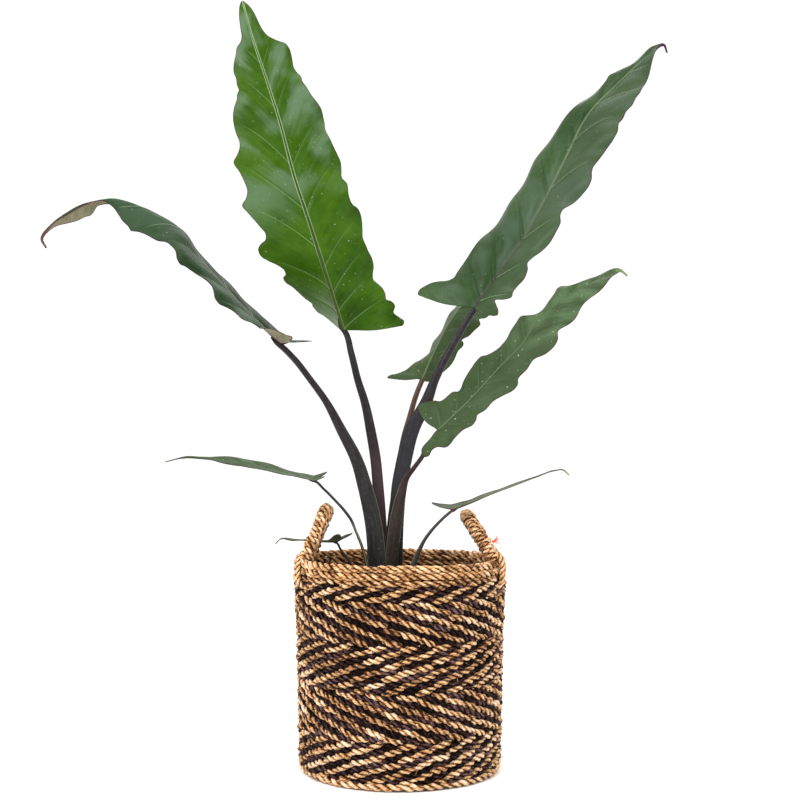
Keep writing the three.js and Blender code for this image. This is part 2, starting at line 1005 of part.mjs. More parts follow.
// The string round the leg, square to it, with its knot and two short ends on the outside.
function tieSolid(handle) {
  const arch = handleArch(handle);
  let t = 0;
  while (arch(t).z < TIE_HEIGHT) t += 0.002;
  const centre = arch(t);
  const forward = arch(t + NUDGE)
    .sub(arch(t - NUDGE))
    .normalize();
  const outward = new THREE.Vector3(handle.side, 0, 0);
  outward.addScaledVector(forward, -outward.dot(forward)).normalize();
  const across = forward.clone().cross(outward);
  const loopRadius = HANDLE_ROPE_RADIUS + HANDLE_WINDING + 2 * GAP + TIE_RADIUS;
  const loop = (share) => {
    const turn = share * 2 * Math.PI;
    return centre
      .clone()
      .addScaledVector(outward, loopRadius * Math.cos(turn))
      .addScaledVector(across, loopRadius * Math.sin(turn));
  };
  const rings = [];
  for (let s = 0; s < TIE_STEPS; s += 1) {
    const middle = loop(s / TIE_STEPS);
    const out = middle.clone().sub(centre).normalize();
    const points = [];
    for (let k = 0; k < TIE_SIDES; k += 1) {
      const turn = (-k / TIE_SIDES) * 2 * Math.PI;
      points.push(
        middle
          .clone()
          .addScaledVector(out, TIE_RADIUS * Math.cos(turn))
          .addScaledVector(forward, TIE_RADIUS * Math.sin(turn)),
      );
    }
    rings.push(points);
  }
  const knot = loop(0).addScaledVector(outward, TIE_RADIUS);
  const endSize = (share) => along(TIE_END_RADII, share);
  const ends = TIE_ENDS.map(({ length, rise }) => {
    const tip = knot.clone().addScaledVector(outward, length).addScaledVector(forward, rise);
    const bend = knot.clone().addScaledVector(outward, length / 2).addScaledVector(forward, rise / 4);
    return tube(curveThrough([knot.clone(), bend, tip]), TIE_ENDS.length, endSize, TIE_SIDES);
  });
  const ball = new THREE.IcosahedronGeometry(TIE_KNOT_RADIUS, 1).translate(knot.x, knot.y, knot.z);
  const legRadius = HANDLE_ROPE_RADIUS + HANDLE_WINDING + GAP;
  const leg = tube(handleCurve(handle), HANDLE_STEPS, () => legRadius, ROPE_SIDES);
  const tied = ringBody(rings, true).add(solidOf(ball)).add(ends[0]).add(ends[1]);
  return mainBody(tied.subtract(leg));
}

// Growing pot: a thin tapered cup with a turned-out lip.
function potSolid() {
  const bottom = FLOOR_THICKNESS + GAP;
  const profile = [
    [0, bottom],
    [POT_FOOT_RADIUS, bottom],
    [POT_TOP_RADIUS, POT_TOP - POT_LIP_HEIGHT],
    [POT_TOP_RADIUS + POT_LIP, POT_TOP - POT_LIP_HEIGHT],
    [POT_TOP_RADIUS + POT_LIP, POT_TOP],
    [POT_TOP_RADIUS - POT_WALL, POT_TOP],
    [POT_FOOT_RADIUS - POT_WALL, bottom + POT_WALL],
    [0, bottom + POT_WALL],
  ];
  return solidOf(latheOf(profile));
}

function latheOf(profile) {
  const points = profile.map(([r, z]) => new THREE.Vector2(r, z));
  return new THREE.LatheGeometry(points, LATHE_SEGMENTS).rotateX(Math.PI / 2);
}

// Potting mix: fills the pot, with a crumbled top.
function soilSolid() {
  const random = seeded(11);
  const potFloor = FLOOR_THICKNESS + GAP + POT_WALL;
  const bottom = potFloor + GAP;
  const slope = (POT_TOP_RADIUS - POT_FOOT_RADIUS) / (POT_TOP - potFloor);
  const fit = (z) => POT_FOOT_RADIUS - POT_WALL - CUT + slope * (z - potFloor);
  const edge = SOIL_TOP - SOIL_EDGE_DROP;
  const circle = (radius, z, bump) => {
    const points = [];
    for (let i = 0; i < LATHE_SEGMENTS; i += 1) {
      const angle = -Math.PI / 2 - (i / LATHE_SEGMENTS) * 2 * Math.PI;
      const height = z + bump * (2 * random() - 1);
      points.push(new THREE.Vector3(radius * Math.cos(angle), radius * Math.sin(angle), height));
    }
    return points;
  };
  return ringBody(
    [
      circle(SOIL_MIDDLE.radius, SOIL_TOP + SOIL_MIDDLE.rise, 0),
      ...SOIL_RINGS.map(({ radius, rise }) => circle(radius, SOIL_TOP + rise, SOIL_BUMP)),
      circle(fit(edge), edge, 0),
      circle(fit(bottom), bottom, 0),
    ],
    false,
  );
}

// A stalk: round under the blade, and flattened into an open, channelled sheath at the foot.
// With extra, the plain shape without the channel that its hole and its neighbours keep clear of.
function stalkSolid(plant, extra) {
  const stations = plant.stalk;
  const curve = curveThrough(stations.map(vector));
  const open = vector(plant.open).normalize();
  const steps = Math.round(stations.length * STALK_STEPS_PER_STATION);
  const rings = [];
  for (let s = 0; s <= steps; s += 1) {
    const t = s / steps;
    const forward = curve(t + NUDGE)
      .sub(curve(t - NUDGE))
      .normalize();
    const inward = open.clone().addScaledVector(forward, -open.dot(forward)).normalize();
    const across = forward.clone().cross(inward);
    const centre = curve(t);
    if (s === 0) centre.addScaledVector(forward, -extra);
    if (s === steps) centre.addScaledVector(forward, extra);
    const [width, depth, channel] = [3, 4, 5].map((k) => stationValue(stations, curve, k, t));
    const points = [];
    for (let k = 0; k < STALK_POINTS; k += 1) {
      const turn = (-k / STALK_POINTS) * 2 * Math.PI;
      const x = (width / 2 + extra) * Math.cos(turn);
      let y = (depth / 2 + extra) * Math.sin(turn);
      if (y > 0 && extra === 0) y *= 1 - CHANNEL_SHARE * channel;
      points.push(centre.clone().addScaledVector(across, x).addScaledVector(inward, y));
    }
    rings.push(points);
  }
  return ringBody(rings, false);
}

// A station's width, depth or channel at share t of the stalk, by the stations' own spacing.
function stationValue(stations, curve, column, t) {
  const gaps = [0];
  for (let i = 1; i < stations.length; i += 1) {
    gaps.push(gaps[i - 1] + vector(stations[i]).distanceTo(vector(stations[i - 1])));
  }
  const place = t * gaps.at(-1);
  let i = 0;
  while (i < stations.length - 2 && place > gaps[i + 1]) i += 1;
  const s = (place - gaps[i]) / (gaps[i + 1] - gaps[i]);
  return stations[i][column] + (stations[i + 1][column] - stations[i][column]) * s;
}

// A point of a blade's half: share u along the midrib, x mm out from it.
function bladePoint(blade, side, u, x, ripple) {
  const form = side < 0 ? blade.left : blade.right;
  const centre = blade.curve(u);
  const forward = blade.curve(u + NUDGE).sub(centre).normalize();
  const up = vector([0, 1, 2].map((k) => along(blade.face.map((f) => f[k]), u)));
  up.addScaledVector(forward, -up.dot(forward)).normalize();
  const across = forward.clone().cross(up);
  const tilt = THREE.MathUtils.degToRad(along(form.tilt, u));
  let curl = along(form.curl, u);
  if (Math.abs(curl) < 1e-3) curl = 1e-3;
  const rolled = (x / ROLL_WIDTH) * curl;
  const out = (ROLL_WIDTH / curl) * (Math.sin(tilt) - Math.sin(tilt - rolled));
  const rise = (ROLL_WIDTH / curl) * (Math.cos(tilt - rolled) - Math.cos(tilt)) + ripple;
  const lift = Math.max(-u, 0) * blade.length * Math.tan(THREE.MathUtils.degToRad(blade.lift));
  return centre.addScaledVector(across, side * out).addScaledVector(up, rise + lift);
}

// Where the line from the midrib at share q meets the margin, with the margin's wave there.
function marginAt(form, length, q) {
  const outline = curveThrough(form.outline.map(([share, out]) => new THREE.Vector3(share * length, out, 0)));
  const here = outline(q);
  const run = outline(Math.min(q + NUDGE, 1)).sub(outline(Math.max(q - NUDGE, 0))).normalize();
  const phase = 2 * Math.PI * (form.waves * q + form.shift);
  const envelope = smooth(0, WAVE_START, q) * (1 - smooth(WAVE_END, 1, q));
  const crest = (Math.cos(phase) - WAVE_POINT * Math.cos(2 * phase)) * form.scallop * envelope;
  return {
    share: (here.x - run.y * crest) / length,
    out: Math.max(here.y + run.x * crest, 0),
    phase,
    envelope,
  };
}

// A blade: both halves as one thin waved sheet with the midrib raised under it.
function bladeSolid(plant, extra) {
  const curve = curveThrough(plant.midrib.map(vector));
  const blade = { ...plant, curve, length: lengthOf(curve) };
  const across = plant.rows > MANY_ROWS ? ACROSS_LARGE : ACROSS_SMALL;
  const columns = across.slice(1).reverse().map((v) => [-1, v]);
  columns.push([1, 0], ...across.slice(1).map((v) => [1, v]));
  const grid = [];
  for (let i = 0; i <= plant.rows; i += 1) {
    const q = i / plant.rows;
    const root = q ** VEIN_FAN;
    const line = columns.map(([side, v]) => {
      const form = side < 0 ? blade.left : blade.right;
      const { share, out, phase, envelope } = marginAt(form, blade.length, q);
      const bow = (LOBE_BOW / blade.length) * (1 - q) ** LOBE_BOW_FADE * Math.sin(Math.PI * v);
      const u = root + (share - root) * v - bow;
      const inward = v ** WAVE_INWARD_FADE;
      const ripple = form.ripple * envelope * inward * Math.cos(phase + 2 * Math.PI * WAVE_LEAD);
      return bladePoint(blade, side, u, out * v, ripple);
    });
    grid.push(line);
  }
  const rows = grid.length;
  const wide = columns.length;
  const middle = (wide - 1) / 2;
  const clampTo = (value, most) => Math.min(Math.max(value, 0), most);
  const upper = [];
  const lower = [];
  for (let i = 0; i < rows; i += 1) {
    for (let j = 0; j < wide; j += 1) {
      const right = grid[i][clampTo(j + 1, wide - 1)].clone().sub(grid[i][clampTo(j - 1, wide - 1)]);
      const ahead = grid[clampTo(i + 1, rows - 1)][j].clone().sub(grid[clampTo(i - 1, rows - 1)][j]);
      const normal = right.normalize().cross(ahead.normalize()).normalize();
      const p = grid[i][j].clone();
      if (i === 0) p.addScaledVector(ahead, -extra);
      const rib = MIDRIB_HEIGHT * plant.ribScale * (1 - (MIDRIB_TAPER * i) / (rows - 1));
      const ridge = j === middle ? rib : 0;
      upper.push(p.clone().addScaledVector(normal, BLADE_THICKNESS / 2 + extra));
      lower.push(p.clone().addScaledVector(normal, -BLADE_THICKNESS / 2 - ridge - extra));
    }
  }
  const positions = [...upper, ...lower].flatMap((p) => [p.x, p.y, p.z]);
  const triangles = [];
  const count = rows * wide;
  for (let i = 0; i < rows - 1; i += 1) {
    for (let j = 0; j < wide - 1; j += 1) {
      const a = i * wide + j;
      const [b, c, d] = [a + 1, a + wide + 1, a + wide];
      triangles.push(a, b, c, a, c, d);
      triangles.push(count + a, count + c, count + b, count + a, count + d, count + c);
    }
  }
  const edge = [];
  for (let j = 0; j < wide - 1; j += 1) edge.push(j);
  for (let i = 0; i < rows - 1; i += 1) edge.push(i * wide + wide - 1);
  for (let j = wide - 1; j > 0; j -= 1) edge.push((rows - 1) * wide + j);
  for (let i = rows - 1; i > 0; i -= 1) edge.push(i * wide);
  edge.forEach((a, k) => {
    const b = edge[(k + 1) % edge.length];
    triangles.push(a, count + a, count + b, a, count + b, b);
  });
  return solidFrom(positions, triangles);
}

// The object, piece by piece.
const object = new THREE.Group();

function place(name, solid, material) {
  const mesh = new THREE.Mesh(geometryOf(solid), material);
  mesh.name = name;
  object.add(mesh);
}

let body = basketBody();
for (const handle of HANDLES) {
  for (const end of [0, 1]) body = body.subtract(lashing(handle, end, CUT));
}
place("basket_body", mainBody(body), twoToneSeagrass);
place("rim_rope_lower", rimRope(RIM_LOWER_RADIUS, RIM_LOWER_Z, 0), naturalSeagrass);
place("rim_rope_upper", rimRope(RIM_UPPER_RADIUS, RIM_UPPER_Z, 0), naturalSeagrass);
for (const handle of HANDLES) place(handle.name, handleSolid(handle), naturalSeagrass);
place("handle_tie", tieSolid(HANDLES[1]), redString);
place("nursery_pot", potSolid(), blackPlastic);

const FRONT_TO_BACK = [3, 4, 2, 1, 5, 6, 7, 8];
const plants = FRONT_TO_BACK.map((number) => {
  const plant = PLANTS.find((p) => p.number === number);
  return { ...plant, ribScale: plant.rows > MANY_ROWS ? 1 : SMALL_MIDRIB };
});
let soil = soilSolid();
const standing = [];
for (const plant of plants) {
  let stalk = stalkSolid(plant, 0).subtract(bladeSolid(plant, CUT));
  for (const other of standing) stalk = stalk.subtract(other);
  standing.push(stalkSolid(plant, CUT));
  soil = soil.subtract(stalkSolid(plant, CUT));
  place("petiole_" + plant.number, mainBody(stalk), plant.number === 1 ? brownStalk : darkStalk);
  place("blade_" + plant.number, bladeSolid(plant, 0), greenBlade);
}
place("soil", mainBody(soil), pottingMix);

export default object;
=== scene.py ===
# %% [markdown]
# # A potted aroid in a twined seagrass basket
# The workshop hands over a frame of plain solids: a basket, its ropes and handles, a growing pot,
# and eight leaves on stalks. This lesson dresses that frame. Every visible piece is built again as
# a fine mesh in the same place, and gets a finish made of nodes.
# All sizes are typed in millimetres, as a maker measures them, and become metres only when a mesh
# is made.

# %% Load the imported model
import math

import bpy
import numpy as np
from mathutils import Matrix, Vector


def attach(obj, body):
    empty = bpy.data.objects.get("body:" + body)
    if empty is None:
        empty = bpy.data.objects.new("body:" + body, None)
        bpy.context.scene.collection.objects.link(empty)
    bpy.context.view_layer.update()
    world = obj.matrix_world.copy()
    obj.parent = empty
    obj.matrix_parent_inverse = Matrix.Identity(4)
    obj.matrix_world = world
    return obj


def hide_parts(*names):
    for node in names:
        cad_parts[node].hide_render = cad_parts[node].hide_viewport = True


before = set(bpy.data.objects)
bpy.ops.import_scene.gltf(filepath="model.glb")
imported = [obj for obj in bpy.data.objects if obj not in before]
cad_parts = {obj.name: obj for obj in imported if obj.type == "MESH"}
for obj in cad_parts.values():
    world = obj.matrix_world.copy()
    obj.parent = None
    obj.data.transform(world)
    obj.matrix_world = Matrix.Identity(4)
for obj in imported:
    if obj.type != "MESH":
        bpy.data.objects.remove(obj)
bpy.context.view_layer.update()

# %% [markdown]
# ## The camera
# The picture was taken from the front, a step away, a little above the middle of the basket.
# A long lens keeps the leaves from spreading. The eye looks up by less than two degrees, so the
# upright lines stay upright.

# %% Camera
EYE = (0.0, -1.55, 0.382)
LOOKS_UP = math.radians(1.8)
FOCAL_PIXELS = 1308
PICTURE_PIXELS = 800
SENSOR = 36.0

camera = bpy.data.objects.new("camera", bpy.data.cameras.new("camera"))
bpy.context.scene.collection.objects.link(camera)
camera.location = EYE
camera.rotation_euler = (math.pi / 2 + LOOKS_UP, 0, 0)
camera.data.sensor_width = SENSOR
camera.data.lens = FOCAL_PIXELS / PICTURE_PIXELS * SENSOR
bpy.context.scene.camera = camera
print("lens, mm:", round(camera.data.lens, 1))

# %% [markdown]
# ## Small tools for curves and numbers
# A leaf's midrib, a stalk and a rope are all smooth lines through a few measured points, so one
# curve tool serves them all. It passes through every point and is read by its share of the length.

# %% Curve tools
NUDGE = 1e-3


def unit(v):
    return v / np.linalg.norm(v, axis=-1, keepdims=True)


def ease(low, high, x):
    """0 below low, 1 above high, and a soft step between them."""
    s = np.clip((x - low) / (high - low), 0, 1)
    return s * s * (3 - 2 * s)


def along(values, t):
    """The value at share t of a list of evenly spaced values."""
    return np.interp(t, np.linspace(0, 1, len(values)), values)


def step_lengths(points):
    """The distance from each point of a line to the next."""
    return np.linalg.norm(np.diff(points, axis=0), axis=1)


def walked_to(points):
    """How far along a line each of its points lies."""
    return np.concatenate([[0], np.cumsum(step_lengths(points))])


def full_turn(count):
    """Angles of evenly spaced places all the way round."""
    return np.arange(count) / count * 2 * np.pi


def round_axis(radius, turn, z):
    """Points at a distance from the upright axis, an angle round it and a height."""
    return np.stack(np.broadcast_arrays(radius * np.cos(turn), radius * np.sin(turn), z), -1)


def smooth_curve(points):
    """A curve through points, read by its share of the length. It runs straight on past its ends."""
    p = np.array(points, float)
    places = walked_to(p) / step_lengths(p).sum()
    gaps = np.diff(places)
    pull = np.diff(p, axis=0) / gaps[:, None]
    share = (gaps[1:] / (places[2:] - places[:-2]))[:, None]
    slopes = np.vstack([pull[:1], pull[:-1] * share + pull[1:] * (1 - share), pull[-1:]])

    def at(t):
        t = np.asarray(t, float)
        i = np.clip(np.searchsorted(places, t, side="right") - 1, 0, len(gaps) - 1)
        span = gaps[i][..., None]
        s = np.clip((t - places[i]) / gaps[i], 0, 1)[..., None]
        inside = (
            (2 * s**3 - 3 * s**2 + 1) * p[i]
            + (s**3 - 2 * s**2 + s) * span * slopes[i]
            + (3 * s**2 - 2 * s**3) * p[i + 1]
            + (s**3 - s**2) * span * slopes[i + 1]
        )
        before = np.minimum(t, 0)[..., None] * slopes[0]
        after = np.maximum(t - 1, 0)[..., None] * slopes[-1]
        return inside + before + after

    return at


print("halfway along a straight curve:", smooth_curve([(0, 0, 0), (10, 0, 0), (20, 0, 0)])(0.5))

# %% [markdown]
# ## From numbers to a mesh
# Blender reads a mesh fastest as whole lists: corner points, faces, and maps that hold two numbers
# for each face corner. The maps aren't pictures. They tell a finish where it is on its piece, such
# as how far along a strand or how far from a leaf's midrib.

# %% Mesh tools
def add_piece(name, part, finishes, nodes):
    """A mesh object that stands for the named solids and rides with the plant."""
    mesh = bpy.data.meshes.new(name)
    faces = part["faces"]
    mesh.vertices.add(len(part["points"]))
    mesh.vertices.foreach_set("co", (part["points"] / 1000).astype(np.float32).ravel())
    mesh.loops.add(faces.size)
    mesh.loops.foreach_set("vertex_index", faces.astype(np.int32).ravel())
    mesh.polygons.add(len(faces))
    mesh.polygons.foreach_set("loop_start", np.arange(0, faces.size, 4, dtype=np.int32))
    mesh.polygons.foreach_set("use_smooth", np.ones(len(faces), bool))
    for key, values in part["maps"].items():
        mesh.uv_layers.new(name=key).data.foreach_set("uv", values.astype(np.float32).ravel())
    for finish in finishes:
        mesh.materials.append(finish.material)
    if "pick" in part:
        mesh.polygons.foreach_set("material_index", part["pick"].astype(np.int32))
    mesh.update(calc_edges=True)
    piece = bpy.data.objects.new(name, mesh)
    bpy.context.scene.collection.objects.link(piece)
    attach(piece, "root")
    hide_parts(*nodes)
    print(name, "has", 2 * len(faces), "triangles")


def join(parts):
    """Several tubes as one part, with the same maps."""
    starts = np.cumsum([0] + [len(part["points"]) for part in parts[:-1]])
    return {
        "points": np.vstack([part["points"] for part in parts]),
        "faces": np.vstack([part["faces"] + start for part, start in zip(parts, starts)]),
        "maps": {key: np.vstack([part["maps"][key] for part in parts]) for key in parts[0]["maps"]},
    }


def skin(points, lengthwise, look, closed=False):
    """The faces of tubes. points: tubes, rings, sides, 3. lengthwise: tubes, rings + 1, in mm.
    look: tubes, rings + 1, sides + 1, 2, or anything that spreads to that."""
    tubes, rings, sides = points.shape[:3]
    bands = rings if closed else rings - 1
    ring, side = np.meshgrid(np.arange(bands), np.arange(sides), indexing="ij")
    ring4 = np.stack([ring, ring, ring + 1, ring + 1], -1)
    side4 = np.stack([side, side + 1, side + 1, side], -1)
    first = np.arange(tubes)[:, None, None, None] * rings * sides
    faces = first + (ring4 % rings) * sides + side4 % sides
    strand = np.empty(faces.shape + (2,))
    strand[..., 0] = side4 / sides
    strand[..., 1] = np.broadcast_to(lengthwise, (tubes, rings + 1))[:, ring4]
    looks = np.broadcast_to(look, (tubes, rings + 1, sides + 1, 2))[:, ring4, side4]
    # A tube that came out inside out is turned.
    corner = points.reshape(-1, 3)[faces[0]]
    normal = np.cross(corner[:, :, 2] - corner[:, :, 0], corner[:, :, 3] - corner[:, :, 1])
    outward = corner.mean(axis=2) - points[0][:bands].mean(axis=1)[:, None]
    if (normal * outward).sum() < 0:
        faces, strand, looks = faces[..., ::-1], strand[..., ::-1, :], looks[..., ::-1, :]
    return {
        "points": points.reshape(-1, 3),
        "faces": faces.reshape(-1, 4),
        "maps": {"strand": strand.reshape(-1, 4, 2), "look": looks.reshape(-1, 4, 2)},
    }


# %% [markdown]
# ## Making a finish
# A finish is a small net of nodes that ends in Blender's all-round shader. The tools below add one
# node per call, and a value that comes out of a node can be added and multiplied with plain signs,
# so each material further down reads as a short recipe. Plain numbers such as the roughness are
# typed straight into the shader's own sockets.

# %% Node tools
def paint(red, green, blue):
    """A colour as a painter reads it off a chart, 0 to 255, turned into light."""
    parts = [c / 255 for c in (red, green, blue)]
    return tuple(c / 12.92 if c <= 0.04045 else ((c + 0.055) / 1.055) ** 2.4 for c in parts) + (1.0,)


class Value:
    """What comes out of a node. Sums of values become maths nodes."""

    def __init__(self, recipe, socket):
        self.recipe, self.socket = recipe, socket

    def __add__(self, other):
        return self.recipe.maths("ADD", self, other)

    def __sub__(self, other):
        return self.recipe.maths("SUBTRACT", self, other)

    def __rsub__(self, other):
        return self.recipe.maths("SUBTRACT", other, self)

    def __mul__(self, other):
        return self.recipe.maths("MULTIPLY", self, other)

    def __abs__(self):
        return self.recipe.maths("ABSOLUTE", self)


class Recipe:
    """Adds nodes to a net. A colour is typed as three numbers off the painter's chart."""

    def __init__(self, tree):
        self.tree = tree

    def add(self, kind, inputs, output=0, **settings):
        node = self.tree.nodes.new("ShaderNode" + kind)
        for key, value in settings.items():
            setattr(node, key, value)
        for key, value in inputs.items():
            if isinstance(value, Value):
                self.tree.links.new(value.socket, node.inputs[key])
            else:
                node.inputs[key].default_value = paint(*value) if isinstance(value, tuple) else value
        return Value(self, node.outputs[output])

    def maths(self, operation, a, b=0.0):
        return self.add("Math", {0: a, 1: b}, operation=operation)

    def step(self, value, low, high):
        """0 below low, 1 above high, and a soft step between them."""
        inputs = {"Value": value, "From Min": low, "From Max": high}
        return self.add("MapRange", inputs, interpolation_type="SMOOTHSTEP")

    def near(self, distance, low, high):
        """1 nearer than low, 0 further than high."""
        return 1.0 - self.step(distance, low, high)

    def mix(self, factor, a, b):
        """A colour between two. Sockets 6 and 7 and output 2 of this node are its colours."""
        return self.add("Mix", {0: factor, 6: a, 7: b}, output=2, data_type="RGBA")

    def ramp(self, factor, stops, between="LINEAR"):
        """Colours by place. A stop of four numbers is light, not paint."""
        out = self.add("ValToRGB", {0: factor})
        chart = out.socket.node.color_ramp
        chart.interpolation = between
        while len(chart.elements) < len(stops):
            chart.elements.new(0.5)
        for element, (place, colour) in zip(chart.elements, stops):
            element.position = place
            element.color = paint(*colour) if len(colour) == 3 else colour
        return out

    def split(self, vector):
        """The three numbers of a vector."""
        first = self.add("SeparateXYZ", {0: vector})
        return [Value(self, socket) for socket in first.socket.node.outputs]


# %% Finish tools
class Finish(Recipe):
    """A material for one kind of piece."""

    def __init__(self, name, roughness, specular=0.5):
        self.material = bpy.data.materials.new(name)
        self.material.use_nodes = True
        super().__init__(self.material.node_tree)
        self.shader = self.tree.nodes["Principled BSDF"]
        self.shader.inputs["Roughness"].default_value = roughness
        self.shader.inputs["Specular IOR Level"].default_value = specular

    def read_map(self, name):
        return self.split(self.add("UVMap", {}, uv_map=name))[:2]

    def noise(self, x, y, z, detail=2.0):
        vector = self.add("CombineXYZ", {0: x, 1: y, 2: z})
        return self.add("TexNoise", {"Vector": vector, "Scale": 1.0, "Detail": detail})

    def speckle(self, scale, detail=2.0):
        """Noise by the place on the object, which is output 3. scale: grains per metre."""
        place = self.add("TexCoord", {}, output=3)
        return self.add("TexNoise", {"Vector": place, "Scale": scale, "Detail": detail})

    def colour(self, value):
        self.tree.links.new(value.socket, self.shader.inputs["Base Color"])

    def bump(self, height, millimetres, strength=1.0):
        inputs = {"Height": height, "Distance": millimetres / 1000, "Strength": strength}
        self.tree.links.new(self.add("Bump", inputs).socket, self.shader.inputs["Normal"])


def speckled(name, roughness, specular, grains, dark, light, bumps, bump_height, strength=1.0):
    """A plain finish of two near colours. grains and bumps: how many in a metre."""
    finish = Finish(name, roughness, specular)
    finish.colour(finish.mix(finish.speckle(grains), dark, light))
    finish.bump(finish.speckle(bumps), bump_height, strength)
    return finish


print("mid grey in light:", round(paint(128, 128, 128)[0], 3))

# %% [markdown]
# ## Floor and light
# A plain pale floor and soft light from large panels show the form without hard shadows. The sky is
# almost white all round, so dark stalks and leaves read as clear shapes. A picture of a real room
# could light the scene too, but a few strengths by height are easier to change. The strongest panel
# stands on the left and gives the leaves their gloss, a weaker one fills from the right, and one
# stands behind to light the edges.

# %% Floor
floor_finish = speckled("pale floor", 0.9, 0.2, 3.0, (246, 246, 246), (251, 251, 251), 180.0, 0.1, 0.2)
FLOOR_REACH = 30.0
floor_mesh = bpy.data.meshes.new("floor")
corners = [(-1, -1), (1, -1), (1, 1), (-1, 1)]
floor_mesh.from_pydata([(x * FLOOR_REACH, y * FLOOR_REACH, 0) for x, y in corners], [], [(0, 1, 2, 3)])
floor_mesh.materials.append(floor_finish.material)
floor = bpy.data.objects.new("floor", floor_mesh)
bpy.context.scene.collection.objects.link(floor)
print("floor, metres across:", 2 * FLOOR_REACH)

# %% Light of the room
# Strength of the light by height: beyond the plant a white wall, behind the camera a duller one, and
# over both a bright ceiling.
HEIGHTS = (0.0, 0.4, 0.55, 0.75, 0.9)
FAR_WALL = (1.06, 1.06, 0.7, 0.8, 2.0)
NEAR_WALL = (0.86, 0.86, 0.6, 0.8, 2.0)
world = bpy.data.worlds.new("pale room")
world.use_nodes = True
room = Recipe(world.node_tree)
# In a world, the first of these outputs is the direction in which one looks.
_, y, z = room.split(room.add("TexCoord", {}))
near_wall, far_wall = (
    room.ramp(z, [(height, (s, s, s, 1)) for height, s in zip(HEIGHTS, strengths)], between="EASE")
    for strengths in (NEAR_WALL, FAR_WALL)
)
walls = room.mix(room.step(y, -0.4, 0.3), near_wall, far_wall)
room.tree.links.new(walls.socket, room.tree.nodes["Background"].inputs["Color"])
bpy.context.scene.world = world
bpy.context.scene.view_settings.view_transform = "Standard"
print("room light, near and far:", NEAR_WALL, FAR_WALL)


# %% Light panels
def add_panel(name, place, aim_height, size, watts):
    panel = bpy.data.objects.new(name, bpy.data.lights.new(name, "AREA"))
    panel.data.shape = "SQUARE"
    panel.data.size = size
    panel.data.energy = watts
    panel.location = place
    aim = Vector((0, 0, aim_height))
    panel.rotation_euler = (aim - Vector(place)).to_track_quat("-Z", "Y").to_euler()
    bpy.context.scene.collection.objects.link(panel)
    print(name, "gives", watts, "watts")


add_panel("panel_left", (-1.3, -1.5, 2.0), 0.5, 1.2, 48)
add_panel("panel_right", (1.6, -1.2, 1.2), 0.4, 1.2, 14)
add_panel("panel_back", (0.5, 1.5, 2.2), 0.5, 1.4, 18)

# %% [markdown]
# ## Seagrass
# Seagrass cord is a twist of dry blades, so its colour runs from straw to orange brown, and fine
# fibres follow each ply. The finish reads two maps: "strand" says how far round and along a ply the
# point is, and "look" gives each stitch its own tone. Noise stretched along the ply draws the fibres,
# for the colour and for the bump alike. The dyed cord has the same fibres in aubergine black, and
# less gloss, because the dye fills the grass.

# %% Seagrass finishes
# Fibres round a ply, how far they slant in a millimetre along it, and how fast one changes there.
FIBRES_ROUND, FIBRES_ASLANT, FIBRE_CHANGE = 10.0, 1.1, 0.13


def seagrass(name, stops, roughness, specular):
    finish = Finish(name, roughness, specular)
    around, lengthwise = finish.read_map("strand")
    tone, own = finish.read_map("look")
    stretched = lengthwise * FIBRE_CHANGE
    slanted = around * FIBRES_ROUND + lengthwise * FIBRES_ASLANT
    fibres = finish.noise(slanted, stretched, own * 90.0, detail=2.5)
    blotches = finish.noise(around * 2.0, stretched, own * 37.0)
    shade = tone + ((fibres - 0.5) * 1.9 + (blotches - 0.5))
    # The side of a ply that faces its neighbours is painted darker: painted shade in the notches between
    # plies.
    painted_notch_shade = finish.near(abs(around - 0.5), 0.14, 0.4)
    finish.colour(finish.ramp(shade - painted_notch_shade * 0.55, stops))
    finish.bump(fibres, 1.4)
    print(name, "has", len(stops), "tones")
    return finish


NATURAL_TONES = [
    (0.0, (40, 14, 4)),
    (0.25, (130, 79, 36)),
    (0.5, (204, 152, 96)),
    (0.75, (232, 189, 142)),
    (1.0, (250, 223, 195)),
]
DYED_TONES = [
    (0.0, (6, 1, 0)),
    (0.35, (30, 15, 14)),
    (0.7, (64, 42, 42)),
    (1.0, (118, 92, 92)),
]
natural_grass = seagrass("natural seagrass", NATURAL_TONES, roughness=0.48, specular=0.28)
dyed_grass = seagrass("dyed seagrass", DYED_TONES, roughness=0.45, specular=0.08)


def add_to_basket(name, part, finish=natural_grass):
    """A piece of the woven cup."""
    add_piece(name, part, [finish], ["basket_body"])


# %% [markdown]
# ## Twisting a cord
# A cord on this basket is two plies laid round each other, and a rope of its rim is three. One tool
# makes them all. It follows a middle line, winds each ply round it like a screw thread, and gives
# the ply its own round section. Winding real plies costs more triangles than a bumpy tube, but the
# dark notches between plies are what makes a rope look like rope.

# %% Cord tool
# Distance of a ply's middle from the cord's middle, in ply radii, for two plies and for three.
PLY_PLACE = {2: 0.85, 3: 1.2}
# How much the plies of one cord differ in tone, and in the fibres they show.
PLY_CHANGE = np.array([0.07, 0.31])
# Height of the ribs along a ply, as a share of its radius, and how they turn in a millimetre.
RIB_HEIGHT, RIB_TURN = 0.1, 0.9


def ahead(path, closed):
    """The way on from each point of each path."""
    if closed:
        return np.roll(path, -1, axis=1) - np.roll(path, 1, axis=1)
    return np.gradient(path, axis=1)


def walked_along(path, closed):
    """Millimetres walked along each path at each point, and once more at its end."""
    following = np.roll(path, -1, axis=1)
    if not closed:
        following[:, -1] = path[:, -1]
    steps = np.linalg.norm(following - path, axis=2)
    return np.concatenate([np.zeros((len(path), 1)), np.cumsum(steps, axis=1)], axis=1)


